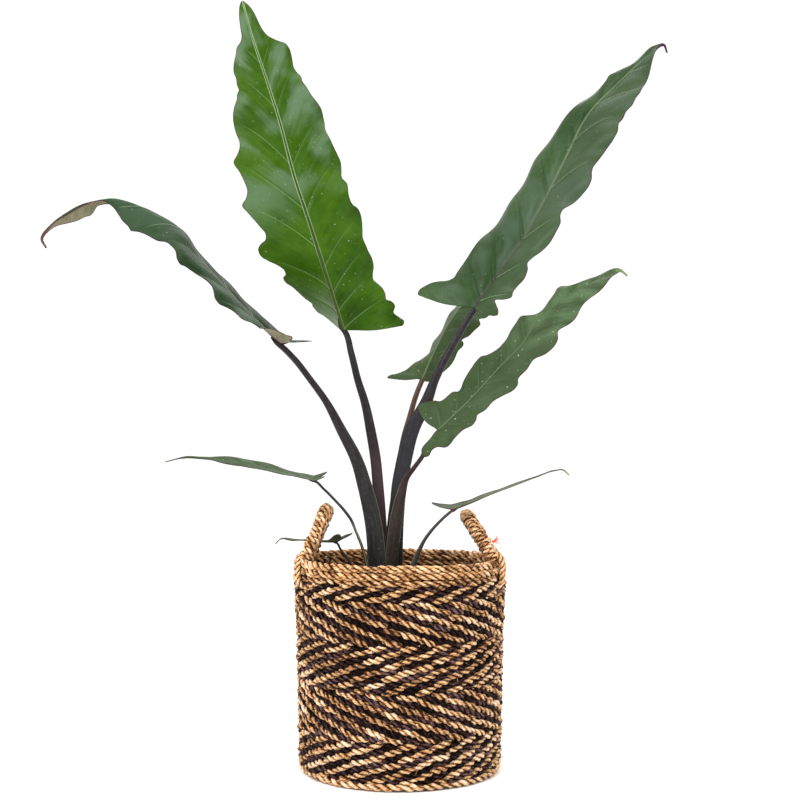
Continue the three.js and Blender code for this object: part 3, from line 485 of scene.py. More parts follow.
def twisted(path, side, ply, pitch, sides, look, start=0.0, closed=False, thin=1.0, ribs=0, plies=2):
    """Plies of radius ply laid round each path. path and side: cords, rings, 3, in mm. pitch: length
    of one turn. thin: share of the full thickness, ring by ring."""
    walked = walked_along(path, closed)
    here = walked[:, :-1]
    forward = unit(ahead(path, closed))
    over = unit(np.cross(forward, side))
    side = np.cross(over, forward)
    angle = full_turn(sides)
    parts = []
    for number in range(plies):
        turn = (2 * np.pi * here / pitch + start + 2 * np.pi * number / plies)[..., None]
        radial = side * np.cos(turn) + over * np.sin(turn)
        middle = path + radial * (PLY_PLACE[plies] * ply * thin)
        across = unit(np.cross(unit(ahead(middle, closed)), radial))
        swell = np.ones((*here.shape, 1))
        if ribs:
            swell = 1 + RIB_HEIGHT * np.cos(ribs * angle + here[..., None] * RIB_TURN + number)
        size = (ply * swell * thin)[..., None]
        ring = radial[:, :, None] * np.cos(angle)[:, None] + across[:, :, None] * np.sin(angle)[:, None]
        own_look = look + PLY_CHANGE * (number - (plies - 1) / 2)
        parts.append(skin(middle[:, :, None] + ring * size, walked, own_look, closed))
    return join(parts)


print("walked along a line of 20 mm:", walked_along(np.array([[[0, 0, 0], [20, 0, 0]]]), False)[0])

# %% [markdown]
# ## The basket wall
# The wall is twined: cords pass in and out round hidden uprights, so each visible stitch comes out,
# runs slanting over the upright and goes in again. A tan stitch follows a dark one all the way round
# and up, like a draughts board. The slant of a band of rows joins the stitches of one colour into
# stripes, and the next band slants the other way, which turns the stripes back in a chevron.
# The stitches could be drawn by a bump on a smooth cup, but the outline of the real basket is lumpy
# and the stitches cast small shadows, so every stitch is a real twist of cord here.

# %% Wall sizes
WALL_TOP = 225.5
WALL_RADIUS_TOP = 123.8
WALL_RADIUS_FOOT = 117.0
WALL_THICKNESS = 8.0
FOOT_RADIUS = 115.0
WEAVE_FOOT = 6.4
# Rows of one slant, from the foot: 1 rises to the right, -1 falls.
BANDS = [(1, 7), (-1, 8), (1, 8), (-1, 7), (1, 3)]
slants = np.concatenate([np.full(rows, slant) for slant, rows in BANDS])
ROW_PITCH = (WALL_TOP - WEAVE_FOOT) / len(slants)
print("rows:", len(slants), "row pitch, mm:", round(ROW_PITCH, 2))


def wall_radius(z):
    """The wall widens slowly from the foot and faster under the rim."""
    return np.interp(z, (0, 60, 150, WALL_TOP), (WALL_RADIUS_FOOT, 118.4, 120.4, WALL_RADIUS_TOP))


# %% Laying the stitches
RINGS = 11
STITCHES_ROUND = 40
STITCH_LENGTH = 24.0
# How deep a stitch dives at its ends, and how far out its middle stands from the cup.
STITCH_DEPTH = 3.2
STITCH_STAND = {"tan": -1.5, "dark": -2.0}
# How steeply a stitch rises (1) or falls (-1), in radians, and how much that strays.
STITCH_SLOPE = {1: 0.21, -1: 0.28}
SLOPE_STRAYS = 0.09
# How much hand work strays, in mm: a row along the wall, a stitch along it, up or down it and off it.
ROW_STRAYS, STITCH_STRAYS, SAG, STAND_STRAYS = 0.6, 0.8, 0.6, 0.4
random = np.random.default_rng(7)


def stitch_path(angle, z, slope, length, stand, radius_at, facing):
    """Middle lines of stitches that come out of the wall, run over it and go in again."""
    t = np.linspace(-1, 1, RINGS)
    x = t * length[:, None] / 2
    height = z[:, None] + x * np.sin(slope)[:, None]
    arch = np.cos(np.pi / 2 * t) ** 0.7
    out = -STITCH_DEPTH * (1 - arch) + stand[:, None] * arch
    radius = radius_at(height) + facing * out
    turn = angle[:, None] + x * np.cos(slope)[:, None] / wall_radius(height)
    return round_axis(radius, turn, height), round_axis(1, turn, 0) * facing


def lay_rows(rows, radius_at, facing=1):
    """Every stitch of some rows: its middle line, the way off the wall, and whether it is dark."""
    row, number = np.meshgrid(rows, np.arange(STITCHES_ROUND), indexing="ij")
    row, number = row.ravel(), number.ravel()
    strays = random.normal(0, ROW_STRAYS, len(slants))[row] + random.normal(0, STITCH_STRAYS, row.size)
    angle = (number + 0.5) * 2 * np.pi / STITCHES_ROUND + strays / WALL_RADIUS_TOP
    sag = SAG * np.sin(3 * angle + row * 0.7) + random.normal(0, SAG, row.size)
    z = WEAVE_FOOT + (row + 0.5) * ROW_PITCH + sag
    slope = np.where(slants[row] > 0, STITCH_SLOPE[1], -STITCH_SLOPE[-1])
    slope = slope + random.normal(0, SLOPE_STRAYS, row.size)
    length = STITCH_LENGTH * random.uniform(0.93, 1.06, row.size)
    dark = (row + number) % 2 == 1
    stand = np.where(dark, STITCH_STAND["dark"], STITCH_STAND["tan"])
    stand = stand + random.normal(0, STAND_STRAYS, row.size)
    return *stitch_path(angle, z, slope, length, stand, radius_at, facing), dark


print("stitches in the wall:", STITCHES_ROUND * len(slants))

# %% Making the stitches
CORD_PLY = {"tan": 2.05, "dark": 1.85}
CORD_PITCH = 19.0
CORD_SIDES = 7
# How much of its thickness a stitch loses where it dives into the wall.
STITCH_NARROWS = 0.55


def stitch_mesh(path, side, tone, ply):
    look = np.stack([tone, random.uniform(0, 1, tone.size)], -1)[:, None, None, :]
    t = np.linspace(-1, 1, RINGS)
    fullness = random.uniform(0.88, 1.12, (tone.size, 1))
    fullness = fullness * (1 + 0.1 * random.normal(0, 1, (tone.size, RINGS)))
    thin = (fullness * (1 - STITCH_NARROWS * np.abs(t) ** 3))[..., None]
    start = random.uniform(0, 2 * np.pi, (tone.size, 1))
    return twisted(path, side, ply, CORD_PITCH, CORD_SIDES, look, start=start, thin=thin)


def tones(count, middle, spread, pale_share):
    """Tones of stitches: most near the middle, and a few bleached ones."""
    tone = random.normal(middle, spread, count)
    pale = random.uniform(0, 1, count) < pale_share
    return np.clip(np.where(pale, random.uniform(0.75, 0.95, count), tone), 0.05, 0.98)


def add_rows(name, rows, radius_at, tan_tones, dark_tones, facing=1):
    """Two pieces: the tan stitches of some rows, and the dark ones."""
    path, side, dark = lay_rows(rows, radius_at, facing)
    for colour, keep, finish, plan in (
        ("tan", ~dark, natural_grass, tan_tones),
        ("dark", dark, dyed_grass, dark_tones),
    ):
        tone = tones(keep.sum(), *plan)
        part = stitch_mesh(path[keep], side[keep], tone, CORD_PLY[colour])
        add_to_basket(f"{name}_{colour}", part, finish)


# %% Wall, band by band
# Middle of the tones, their spread, and the share of bleached stitches. The lowest band is lighter.
TAN, TAN_BELOW, DARK = (0.55, 0.15, 0.1), (0.62, 0.15, 0.1), (0.55, 0.2, 0.04)
first = 0
for number, (_, rows) in enumerate(BANDS):
    tan = TAN_BELOW if number == 0 else TAN
    add_rows(f"weave_{number + 1}", np.arange(first, first + rows), wall_radius, tan, DARK)
    first += rows

# %% [markdown]
# ## Behind the stitches, inside and under
# Between the stitches one looks onto the uprights and the back of the inner stitches, which lie in
# deep shade. Every upright could be made, but a ribbed dark cup looks the same. The weave shows again
# inside near the rim, where one can look in over the pot, and the foot is a flat coil of natural cord.

# %% Backing cup
shade_finish = speckled("shaded weave", 0.85, 0.2, 400.0, (14, 5, 2), (44, 25, 16), 900.0, 0.5)
PLAIN_LOOK = np.array([0.5, 0.5])


def turned(profile, segments, wobble=0.0):
    """A profile of (radius, height) turned round the upright axis."""
    turn = full_turn(segments)
    radius, height = np.array(profile, float).T[..., None]
    points = round_axis(radius + wobble * np.sin(turn * STITCHES_ROUND), turn, height)
    walked = walked_to(np.array(profile, float))
    return skin(points[None], np.append(walked, walked[-1])[None], PLAIN_LOOK)


# How far the cup's outside lies behind the middle of the wall's outer face.
BACK = 3.6
cup = [
    (FOOT_RADIUS - 6, 3.5),
    (wall_radius(8) - BACK, 8),
    (wall_radius(60) - BACK, 60),
    (wall_radius(150) - BACK, 150),
    (WALL_RADIUS_TOP - BACK, WALL_TOP - 1),
    (119.6, 229),
    (119.0, 239),
    (118.2, 239),
    (118.2, 229),
    (WALL_RADIUS_TOP - WALL_THICKNESS + 2, WALL_TOP - 1),
    (wall_radius(150) - WALL_THICKNESS, 150),
    (wall_radius(8) - WALL_THICKNESS, 8),
    (0.1, 8),
]
add_to_basket("weave_backing", turned(cup, 160, wobble=0.5), shade_finish)


# %% Inner rows near the rim
INNER_ROWS = 6
INNER_TONES = (0.36, 0.12, 0.02)


def inner_radius(z):
    return wall_radius(z) - WALL_THICKNESS + 1.4


upper_rows = np.arange(len(slants) - INNER_ROWS, len(slants))
add_rows("weave_inside", upper_rows, inner_radius, INNER_TONES, INNER_TONES, facing=-1)

# %% [markdown]
# ## Foot and rim
# The lowest course is a natural cord that lies on the floor, and the bottom is coiled from the same
# cord. Two thick natural ropes finish the rim. A ring with a bump on it would do from afar, but the
# outline of the rim shows every ply, so these are twisted like the stitches. A rope ring has to
# close on itself, so the twist gets a whole number of turns, and the pitch follows from that.

# %% Rope ring tool
TONE_CHANGES, THICKNESS_CHANGES = 70, 90


def rope_ring(radius, z, ply, pitch, sides, step, tones, wander, seed, ribs=0, plies=2):
    """A closed rope round the basket, with a slightly uneven lay. step: mm from ring to ring.
    wander: how far it strays from a circle."""
    own = np.random.default_rng(seed)
    length = 2 * np.pi * radius
    rings = int(length / step)
    turn = full_turn(rings)
    waves = own.uniform(0, 2 * np.pi, 6)
    sway = sum(np.sin((k + 2) * turn + waves[k]) for k in range(3)) / 3
    lift = sum(np.sin((k + 3) * turn + waves[k + 3]) for k in range(3)) / 3
    path = round_axis(radius + wander * sway, turn, z + 0.5 * wander * lift)[None]
    side = round_axis(1, turn, 0)[None]
    real_length = np.linalg.norm(np.roll(path, -1, axis=1) - path, axis=2).sum()
    tone = own.uniform(*tones, TONE_CHANGES)
    spots = np.linspace(0, TONE_CHANGES, rings + 1)
    tone = np.interp(spots, np.arange(TONE_CHANGES + 1), np.append(tone, tone[0]))
    look = np.stack([tone, np.full(rings + 1, own.uniform())], -1)[None, :, None, :]
    spots = np.linspace(0, THICKNESS_CHANGES, rings)
    lumps = own.normal(0, 1, THICKNESS_CHANGES + 1)
    thick = 1 + 0.12 * np.interp(spots, np.arange(THICKNESS_CHANGES + 1), lumps)[None, :, None]
    whole_pitch = real_length / round(length / pitch)
    return twisted(
        path, side, ply, whole_pitch, sides, look, closed=True, thin=thick, ribs=ribs, plies=plies
    )


print("changes of tone round a rope ring:", TONE_CHANGES)

# %% Rope rings
# Radius of the ring, height, radius of a ply, and length of one turn of the twist.
RIM_ROPES = {"lower": (120.6, 233.4, 2.05, 29.0), "upper": (119.6, 241.4, 2.1, 30.0)}
for seed, (name, (radius, z, ply, pitch)) in enumerate(RIM_ROPES.items(), start=3):
    rope = rope_ring(
        radius, z, ply, pitch, sides=9, step=1.7, tones=(0.22, 0.74), wander=1.3, seed=seed, ribs=3, plies=3
    )
    add_piece("rim_rope_" + name, rope, [natural_grass], ["rim_rope_" + name])

foot_course = rope_ring(
    FOOT_RADIUS - 0.2, 5.1, 2.1, 23.0, sides=10, step=1.8, tones=(0.5, 0.95), wander=1.5, seed=5, ribs=3
)
add_to_basket("foot_course", foot_course)

# The last courses of the wall under the rim are natural, one outside and three inside.
COURSE_PLY, COIL_PLY = 1.9, 1.85
courses = [rope_ring(121.4, 226.2, COURSE_PLY, 24.0, 8, 2.3, tones=(0.25, 0.65), wander=1.2, seed=15)]
for radius, z in ((116.6, 235.5), (116.2, 228.5), (115.8, 221.8)):
    courses.append(rope_ring(radius, z, COURSE_PLY, 26.0, 7, 2.3, tones=(0.2, 0.7), wander=1.4, seed=int(z)))
add_to_basket("rim_courses", join(courses))

COIL_STEP = 6.4
coils = [
    rope_ring(radius, 4.8, COIL_PLY, 22.0, 5, 4.0, tones=(0.35, 0.6), wander=0.4, seed=int(radius))
    for radius in np.arange(6.0, FOOT_RADIUS - 4, COIL_STEP)
]
add_to_basket("foot_coil", join(coils))

# %% [markdown]
# ## Loose fibres
# Seagrass frays. Short ends stand off the wall and the rim all over, and they soften the outline.
# Each is a thin bent spike with three sides, which is enough for something less than a millimetre thick.

# %% Frayed fibres
UPRIGHT = np.array([0, 0, 1.0])


def frayed(count, stand, heights, longest, seed):
    """Loose fibres that start in the wall and bend away from it. stand: where they start, measured
    outwards from the wall."""
    own = np.random.default_rng(seed)
    turn = own.uniform(0, 2 * np.pi, count)
    z = own.uniform(*heights, count)
    radius = np.minimum(wall_radius(z), WALL_RADIUS_TOP) + stand
    outward = round_axis(1, turn, 0)
    round_way = np.cross(UPRIGHT, outward)
    start = round_axis(radius, turn, z)
    way = outward * own.uniform(0.25, 0.8, (count, 1)) + round_way * own.uniform(-1, 1, (count, 1))
    way = unit(way + UPRIGHT * own.uniform(-0.7, 0.7, (count, 1)))
    bend = own.normal(0, 0.35, (count, 3))
    length = own.uniform(0.4, 1, (count, 1)) * longest
    t = np.array([0, 0.4, 0.75, 1.0])
    path = start[:, None] + (way[:, None] * t[:, None] + bend[:, None] * t[:, None] ** 2) * length[:, None]
    over = unit(np.cross(way, outward))
    side = np.cross(way, over)
    angle = full_turn(3)[:, None]
    size = (own.uniform(0.25, 0.5, (count, 1)) * (1 - 0.8 * t))[:, :, None, None]
    ring = over[:, None, None] * np.cos(angle) + side[:, None, None] * np.sin(angle)
    look = np.stack([own.uniform(0.35, 0.9, count), own.uniform(0, 1, count)], -1)[:, None, None, :]
    return skin(path[:, :, None] + ring * size, np.append(t, 1.0)[None] * longest, look)


add_to_basket("frayed_wall", frayed(420, -1.0, (5, 226), longest=7.0, seed=31))
add_to_basket("frayed_dark", frayed(240, -1.2, (8, 222), longest=5.0, seed=32), dyed_grass)
rim_fibres = frayed(110, -2.0, (230, 244), longest=6.0, seed=33)
add_piece("frayed_rim", rim_fibres, [natural_grass], ["rim_rope_upper"])

# %% [markdown]
# ## Handles
# Each handle is a rope arch that leans in over the pot, wound over its whole length with thin cord.
# The winding is one long cord, so it is made as one: its middle line runs round the arch like a screw
# and the cord tool twists it. Each turn hitches over the last and makes a row of knuckles, which is
# the same screw with a steep, raised step at one place in every turn.

# %% Handle shape
RIM_OUTSIDE = 125.2
RIM_TOP = 246.3
HANDLE_HALF_SPAN = 48.0
HANDLE_SEAT = 2.0
# An exponent: below 1 it gives the arch square shoulders.
SHOULDERS = 0.75
# How far the legs lean together on the way up, as a share of the half span.
LEGS_LEAN = 0.06


def handle_arch(side, top, lean):
    foot = math.sqrt((RIM_OUTSIDE - 5.4) ** 2 - HANDLE_HALF_SPAN**2)
    foot_height = RIM_TOP - HANDLE_SEAT

    def at(t):
        turn = np.clip(t, 0, 1) * np.pi
        rise = (top - foot_height) * np.sin(turn) ** SHOULDERS
        y = -HANDLE_HALF_SPAN * np.cos(turn) * (1 - LEGS_LEAN * np.sin(turn))
        return np.stack([side * (foot - lean * rise), y, foot_height + rise], -1)

    return at


def even_steps(curve, count):
    """Points and directions along a curve at even distances, and its length."""
    t = np.linspace(0, 1, 2000)
    walked = walked_to(curve(t))
    points = curve(np.interp(np.linspace(0, walked[-1], count), walked, t))
    return points, unit(np.gradient(points, axis=0)), walked[-1]


HANDLES = {
    "left": {"arch": handle_arch(-1, 300.0, 0.4), "side": -1, "hitch_at": 2.6, "hand": -1, "seed": 21},
    "right": {"arch": handle_arch(1, 292.0, 0.62), "side": 1, "hitch_at": -0.9, "hand": 1, "seed": 22},
}
for name, handle in HANDLES.items():
    print(name, "handle, mm along its arch:", round(even_steps(handle["arch"], 400)[2]))

# %% Winding
# Radius of the wound cord's middle, radius of its plies, and the step from turn to turn.
WINDING = {"left": (5.2, 1.85, 6.3), "right": (5.7, 1.75, 6.0)}
POINTS_A_TURN = 26
ARCH_POINTS = 800
# Each turn moves on by this share of its step evenly, and by the rest in the hitch at its end.
EVEN_SHARE, HITCH_SHARE = 0.3, 0.7
# Height of the knuckle in mm, and its place and width in parts of a turn.
KNUCKLE_HEIGHT, KNUCKLE_PLACE, KNUCKLE_WIDTH = 1.5, 0.8, 0.12


def winding(handle, middle_radius, step):
    """Middle line of the cord wound round an arch, and the direction away from the arch."""
    own = np.random.default_rng(handle["seed"])
    arch = handle["arch"]
    turns = int(even_steps(arch, 400)[2] / step)
    place = np.linspace(0, turns, turns * POINTS_A_TURN)
    part_turn = place % 1
    hitch = HITCH_SHARE * ease(0.62, 1.0, part_turn)
    stepped = place - part_turn + EVEN_SHARE * part_turn + hitch
    evenly, ways, _ = even_steps(arch, ARCH_POINTS)
    at = np.clip(stepped / turns, 0, 1) * (ARCH_POINTS - 1)
    middle = np.stack([np.interp(at, np.arange(ARCH_POINTS), evenly[:, k]) for k in range(3)], -1)
    way = unit(np.stack([np.interp(at, np.arange(ARCH_POINTS), ways[:, k]) for k in range(3)], -1))
    outward = np.array([handle["side"], 0.0, 0.2])
    outward = unit(outward - way * (way @ outward)[:, None])
    across = np.cross(way, outward)
    angle = (handle["hand"] * 2 * np.pi * place + handle["hitch_at"])[:, None]
    away = outward * np.cos(angle) + across * np.sin(angle)
    knuckle = KNUCKLE_HEIGHT * np.exp(-(((part_turn - KNUCKLE_PLACE) / KNUCKLE_WIDTH) ** 2))
    lumps = own.normal(0, 0.45, turns + 2)
    radius = middle_radius + knuckle + np.interp(place, np.arange(turns + 2), lumps)
    return middle + away * radius[:, None], away


print("points in a turn of the winding:", POINTS_A_TURN)

# %% Lashings, and the handles put together
LASHING_PLY = 1.7
LASHING_HOLE_HEIGHT = 217.0
# Angle from the middle of a leg to each of the two strands that tie it down.
LASHING_STRANDS = (-0.022, 0.022)
CORE_PLY = 3.0


def lashing(arch, end, offset):
    """The cord that ties a leg down: out over the rim, down the wall and in."""
    leg = arch(np.array(float(end)))
    angle = math.atan2(leg[1], leg[0]) + offset
    reach = math.hypot(leg[0], leg[1])
    outside = RIM_OUTSIDE + 2.6
    route = [
        (reach - 3, RIM_TOP + 8),
        (reach + 2.5, RIM_TOP + 6.5),
        (outside - 1.5, RIM_TOP + 1.5),
        (outside + 0.4, 240.9),
        (outside + 0.2, 230.5),
        (outside - 1, LASHING_HOLE_HEIGHT + 4),
        (outside - 4.5, LASHING_HOLE_HEIGHT),
        (WALL_RADIUS_TOP - 7, LASHING_HOLE_HEIGHT - 0.5),
    ]
    curve = smooth_curve([(r * math.cos(angle), r * math.sin(angle), z) for r, z in route])
    path = curve(np.linspace(0, 1, 44))
    side = np.broadcast_to(np.array([-math.sin(angle), math.cos(angle), 0.0]), path.shape)
    return path[None], side[None]


for name, handle in HANDLES.items():
    middle_radius, ply, step = WINDING[name]
    path, away = winding(handle, middle_radius, step)
    own = np.random.default_rng(handle["seed"])
    tone = np.interp(np.linspace(0, 60, len(path) + 1), np.arange(61), own.uniform(0.36, 0.88, 61))
    look = np.stack([tone, np.full(len(tone), 0.3)], -1)[None, :, None, :]
    core_path = even_steps(handle["arch"], 60)[0]
    core_side = np.broadcast_to(np.array([float(handle["side"]), 0.0, 0.2]), core_path.shape)
    parts = [
        twisted(path[None], away[None], ply, 14.0, 8, look),
        twisted(core_path[None], core_side[None], CORE_PLY, 18.0, 10, np.array([0.2, 0.1])),
    ]
    for end in (0, 1):
        for strand, offset in enumerate(LASHING_STRANDS):
            path, side = lashing(handle["arch"], end, offset)
            look = np.array([0.62 + 0.1 * strand, 0.7])
            parts.append(twisted(path, side, LASHING_PLY, 13.0, 8, look, start=strand * 1.3))
    add_piece("handle_" + name, join(parts), [natural_grass], ["handle_" + name])

# %% [markdown]
# ## The red string
# A thin red plastic string is knotted round the front leg of one handle. It is a flat tape that has
# split at its ends. A strip of cloth could be draped for it, but it is too small to show folds, so
# the loop is a thin flattened tube and each end fans into a few narrow tongues.

# %% Loop, knot and ends
string_finish = speckled("red string", 0.35, 0.5, 900.0, (226, 48, 24), (246, 92, 60), 2500.0, 0.15)


def thread(points, width, thickness, flat, rings, taper=0.0):
    """A flat tape along a curve. flat: the direction of its broad side's normal."""
    t = np.linspace(0, 1, rings)
    path = smooth_curve(points)(t)
    way = unit(np.gradient(path, axis=0))
    flat = unit(np.array(flat, float) - way * (way @ np.array(flat, float))[:, None])
    wide = np.cross(way, flat)
    angle = full_turn(8)[:, None]
    size = (1 - taper * t)[:, None, None]
    ring = flat[:, None] * np.sin(angle) * thickness / 2 + wide[:, None] * np.cos(angle) * width / 2
    return skin((path[:, None] + ring * size)[None], np.append(t, 1.0)[None] * 10, PLAIN_LOOK)


TIE_HEIGHT = 262.0
LOOP_RADIUS, LOOP_DROP = 6.4, 2.2
right_arch = HANDLES["right"]["arch"]
front_leg = np.linspace(0, 0.5, 500)
share = np.interp(TIE_HEIGHT, right_arch(front_leg)[:, 2], front_leg)
centre = right_arch(share)
way = unit(right_arch(share + NUDGE) - right_arch(share - NUDGE))
outward = unit(np.array([1.0, 0, 0]) - way * way[0])
across = np.cross(way, outward)
loop = [
    centre
    + (outward * math.cos(angle) + across * math.sin(angle)) * LOOP_RADIUS
    + way * (LOOP_DROP * math.sin(angle))
    for angle in (k / 24 * 2 * math.pi for k in range(25))
]
knot = loop[0] + outward * 2.6
knot_line = [knot - across * 1.6, knot + outward * 1.0, knot + across * 1.6]
strings = [thread(loop, 2.2, 0.9, outward, rings=70), thread(knot_line, 3.0, 2.2, outward, rings=12)]
# The tongues at the knot: how far each rises, swings to the side and stands out.
for rise, sweep, length in ((3.2, -1.5, 8.0), (0.8, 0.5, 8.6), (-1.4, 1.8, 7.4), (-6.0, -4.0, 4.5)):
    tip = knot + outward * length + way * rise + across * sweep
    bend = knot + outward * length * 0.5 + way * rise * 0.3 + across * sweep * 0.3
    strings.append(thread([knot, bend, tip], 1.7, 0.5, across, rings=10, taper=0.5))
# The tongues on the inner side of the leg: how far each falls and swings.
inner = loop[12] - way * 5.0 - outward * 1.2
for fall, sweep in ((-5.0, 1.0), (-8.0, -1.5)):
    bend = inner - outward * 1.0 + way * fall * 0.5
    tip = inner - outward * 0.5 + way * fall + across * sweep
    strings.append(thread([inner, bend, tip], 1.6, 0.5, outward, rings=10, taper=0.4))
add_piece("handle_tie", join(strings), [string_finish], ["handle_tie"])

# %% [markdown]
# ## Growing pot and potting mix
# The plant stays in the black pot it was grown in, which the basket hides almost wholly. From above
# one sees its lip and the dark crumbled mix. The pot is a turned profile. The mix is a turned disc
# whose points are pushed up and down, with loose crumbs scattered over it.

# %% Pot
pot_finish = speckled("black plastic", 0.42, 0.5, 60.0, (24, 25, 26), (40, 41, 42), 1400.0, 0.08)
POT_TOP = 221.0
pot_profile = [
    (0.1, 8.3),
    (82, 8.3),
    (84, 9.5),
    (103.5, POT_TOP - 8),
    (104, POT_TOP - 6.5),
    (107.6, POT_TOP - 6),
    (108, POT_TOP - 5.4),
    (108, POT_TOP - 0.8),
    (107.2, POT_TOP),
    (102.6, POT_TOP),
    (102, POT_TOP - 0.8),
    (82, 10.5),
    (0.1, 10.3),
]
add_piece("nursery_pot", turned(pot_profile, 128), [pot_finish], ["nursery_pot"])

# %% Potting mix
soil_finish = Finish("potting mix", roughness=0.95, specular=0.2)
crumb = soil_finish.speckle(260.0, 4.0)
soil_finish.colour(soil_finish.ramp(crumb, [(0.3, (22, 14, 10)), (0.5, (52, 36, 26)), (0.7, (104, 78, 56))]))
soil_finish.bump(crumb, 2.0)

SOIL_TOP = 214.0
SOIL_RADIUS = 100.6
radii = np.concatenate([[0.1], np.linspace(3, SOIL_RADIUS, 34)])
soil = turned([(r, SOIL_TOP) for r in radii] + [(SOIL_RADIUS, SOIL_TOP - 6), (82, 12), (0.1, 12)], 110)
top = soil["points"][:, 2] > SOIL_TOP - 1
x, y, _ = soil["points"][top].T
# Three sets of waves: how fast each rises along x and along y, and where it starts.
WAVES = ((0.09, 0.05, 1), (-0.06, 0.11, 2), (0.17, -0.13, 4))
humps = sum(np.sin(x * along_x + y * along_y + start) for along_x, along_y, start in WAVES)
soil["points"][top, 2] += 0.7 * humps + random.normal(0, 0.5, top.sum())


def crumbs(count, small, large, seed):
    """Loose lumps: seven-sided tubes of four rings, each with its own size and dents."""
    own = np.random.default_rng(seed)
    reach = SOIL_RADIUS * np.sqrt(own.uniform(0, 0.97, count))
    turn = own.uniform(0, 2 * np.pi, count)
    size = own.uniform(small, large, count)
    height, width = np.array([[-0.9, 0.3], [-0.3, 1.0], [0.4, 0.9], [0.9, 0.25]]).T[..., None]
    angle = full_turn(7)
    ball = round_axis(width, angle, height)
    lump = ball[None] * own.uniform(0.6, 1.2, (count, *ball.shape[:2], 1)) * size[:, None, None, None]
    lump[..., 2] *= 0.7
    place = round_axis(reach, turn, SOIL_TOP + 0.4)[:, None, None]
    return skin(lump + place, np.arange(5)[None], PLAIN_LOOK)


add_piece("soil", join([soil, crumbs(620, 0.9, 2.8, seed=31)]), [soil_finish], ["soil"])


# %% [markdown]
# ## Leaves and stalks
# Each plant part is one blade on one stalk. A blade grows from its midrib: two halves spread left and
# right, each folded up or down, rolled at the side and waved at the margin. So a blade is described
# by a midrib curve, the way it faces, and an outline for each half, all read from the picture and
# given depth. The lists keep close to the plain model's, because the fine blade has to lie
# where the plain one does.

# %% How a plant is described
TIP_WIDTH = 0.7
PLANTS = {}


def half(outline, tilt, waves, ripple, curl=(0.2,), shift=0, scallop=0):
    """One half of a blade, each list from foot to tip. outline: place along the midrib, in thousandths
    of its length, and mm out from it. tilt: degrees up or down. curl: how tightly it rolls. waves and
    shift: how many waves the margin has and where they start. ripple: their height. scallop: their
    depth in the outline."""
    return {
        "outline": outline, "tilt": tilt, "curl": curl,
        "waves": waves, "shift": shift, "ripple": ripple, "scallop": scallop,
    }


def add_plant(number, midrib, face, left, right, open_side, stalk, lift=0):
    """midrib: points in mm. face: where the blade looks, from foot to tip. open_side: where the sheath
    opens. stalk: stations of x, y, z, width, depth, and how hollow. lift: degrees, of the lobes."""
    PLANTS[number] = {
        "midrib": midrib, "face": face, "left": left, "right": right,
        "open_side": open_side, "stalk": stalk, "lift": lift,
    }
    points = len(left["outline"]) + len(right["outline"])
    print("plant", number, "has", points, "outline points and", len(stalk), "stalk stations")


print("width of every tip, mm:", 2 * TIP_WIDTH)

# %% [markdown]
# ### The two tall blades
# The tallest blade faces the camera, so its margin is read point by point: it is the largest green
# shape in the picture. Its left lobe hangs steeply. The dark blade on the right leans outwards, and
# its left half rolls over towards the tip, so there the curl grows along the list.

# %% Plant 1
add_plant(
    1,
    midrib=[
        (-69, 25, 516), (-91, 38, 587), (-113, 52, 655), (-130, 62, 706), (-152, 80, 786),
        (-175, 98, 857), (-190, 110, 901), (-202.5, 125, 945),
    ],
    face=[(0.25, -0.9, 0.2), (0.15, -0.95, 0.25), (0.1, -0.9, 0.4)],
    left=half(
        outline=[
            (-20, 62), (-12, 68), (0, 66), (30, 63), (66, 64), (94, 66), (114, 72), (128, 67),
            (132, 61), (145, 61), (160, 60), (180, 60), (195, 63), (205, 61), (209, 54), (219, 52),
            (233, 55), (253, 63), (277, 70), (293, 70), (303, 64), (306, 58), (318, 56), (340, 60),
            (368, 65), (394, 69), (418, 72), (434, 64), (452, 60), (471, 61), (497, 64), (530, 69),
            (545, 63), (567, 57), (587, 55), (615, 56), (642, 56), (670, 54), (690, 50), (710, 44),
            (724, 42), (736, 38), (754, 38), (778, 36), (803, 36), (825, 33), (849, 27), (867, 23),
            (875, 18), (890, 14), (915, 12), (950, 10), (982, 7.5), (1006, 4), (1017, TIP_WIDTH),
        ],
        tilt=[-104, -76, -16, -5, -4, 0, 0, 0, 0],
        waves=6, shift=0.5, ripple=4,
    ),
    right=half(
        outline=[
            (-20, 70), (-19, 78), (-5, 82), (8, 77), (22, 71), (37, 75), (50, 71), (56, 64),
            (70, 65), (88, 64), (106, 60), (118, 57), (136, 59), (157, 63), (177, 63), (197, 60),
            (212, 59), (231, 58), (259, 62), (287, 66), (308, 67), (324, 65), (332, 60), (346, 58),
            (360, 58), (378, 60), (392, 61), (414, 58), (442, 61), (473, 63), (491, 61), (515, 58),
            (540, 56), (571, 54), (593, 56), (617, 57), (636, 57), (652, 54), (672, 49), (700, 46),
            (724, 44), (742, 45), (760, 42), (776, 40), (800, 41), (831, 41), (847, 38), (857, 32),
            (873, 26), (891, 21), (915, 17), (939, 14), (966, 11), (990, 8), (1008, 4),
            (1017, TIP_WIDTH),
        ],
        tilt=[5, 8, 5, 0],
        waves=7, ripple=4,
    ),
    open_side=(0.2, -1, 0),
    stalk=[
        (-21, 3, 190, 15, 9, 0.5), (-21, 3, 241, 15, 9, 0.6), (-23, 3, 289, 14, 9, 0.6),
        (-26, 5, 328, 13.5, 9, 0.5), (-29, 7, 360, 13, 9, 0.4), (-35, 10, 395, 12, 9, 0.2),
        (-42, 14, 428, 10, 8.5, 0), (-50.5, 18, 455, 8.8, 8, 0), (-58.5, 22, 487, 8, 7.4, 0),
        (-66.5, 25, 516, 7, 6.4, 0),
    ],
)

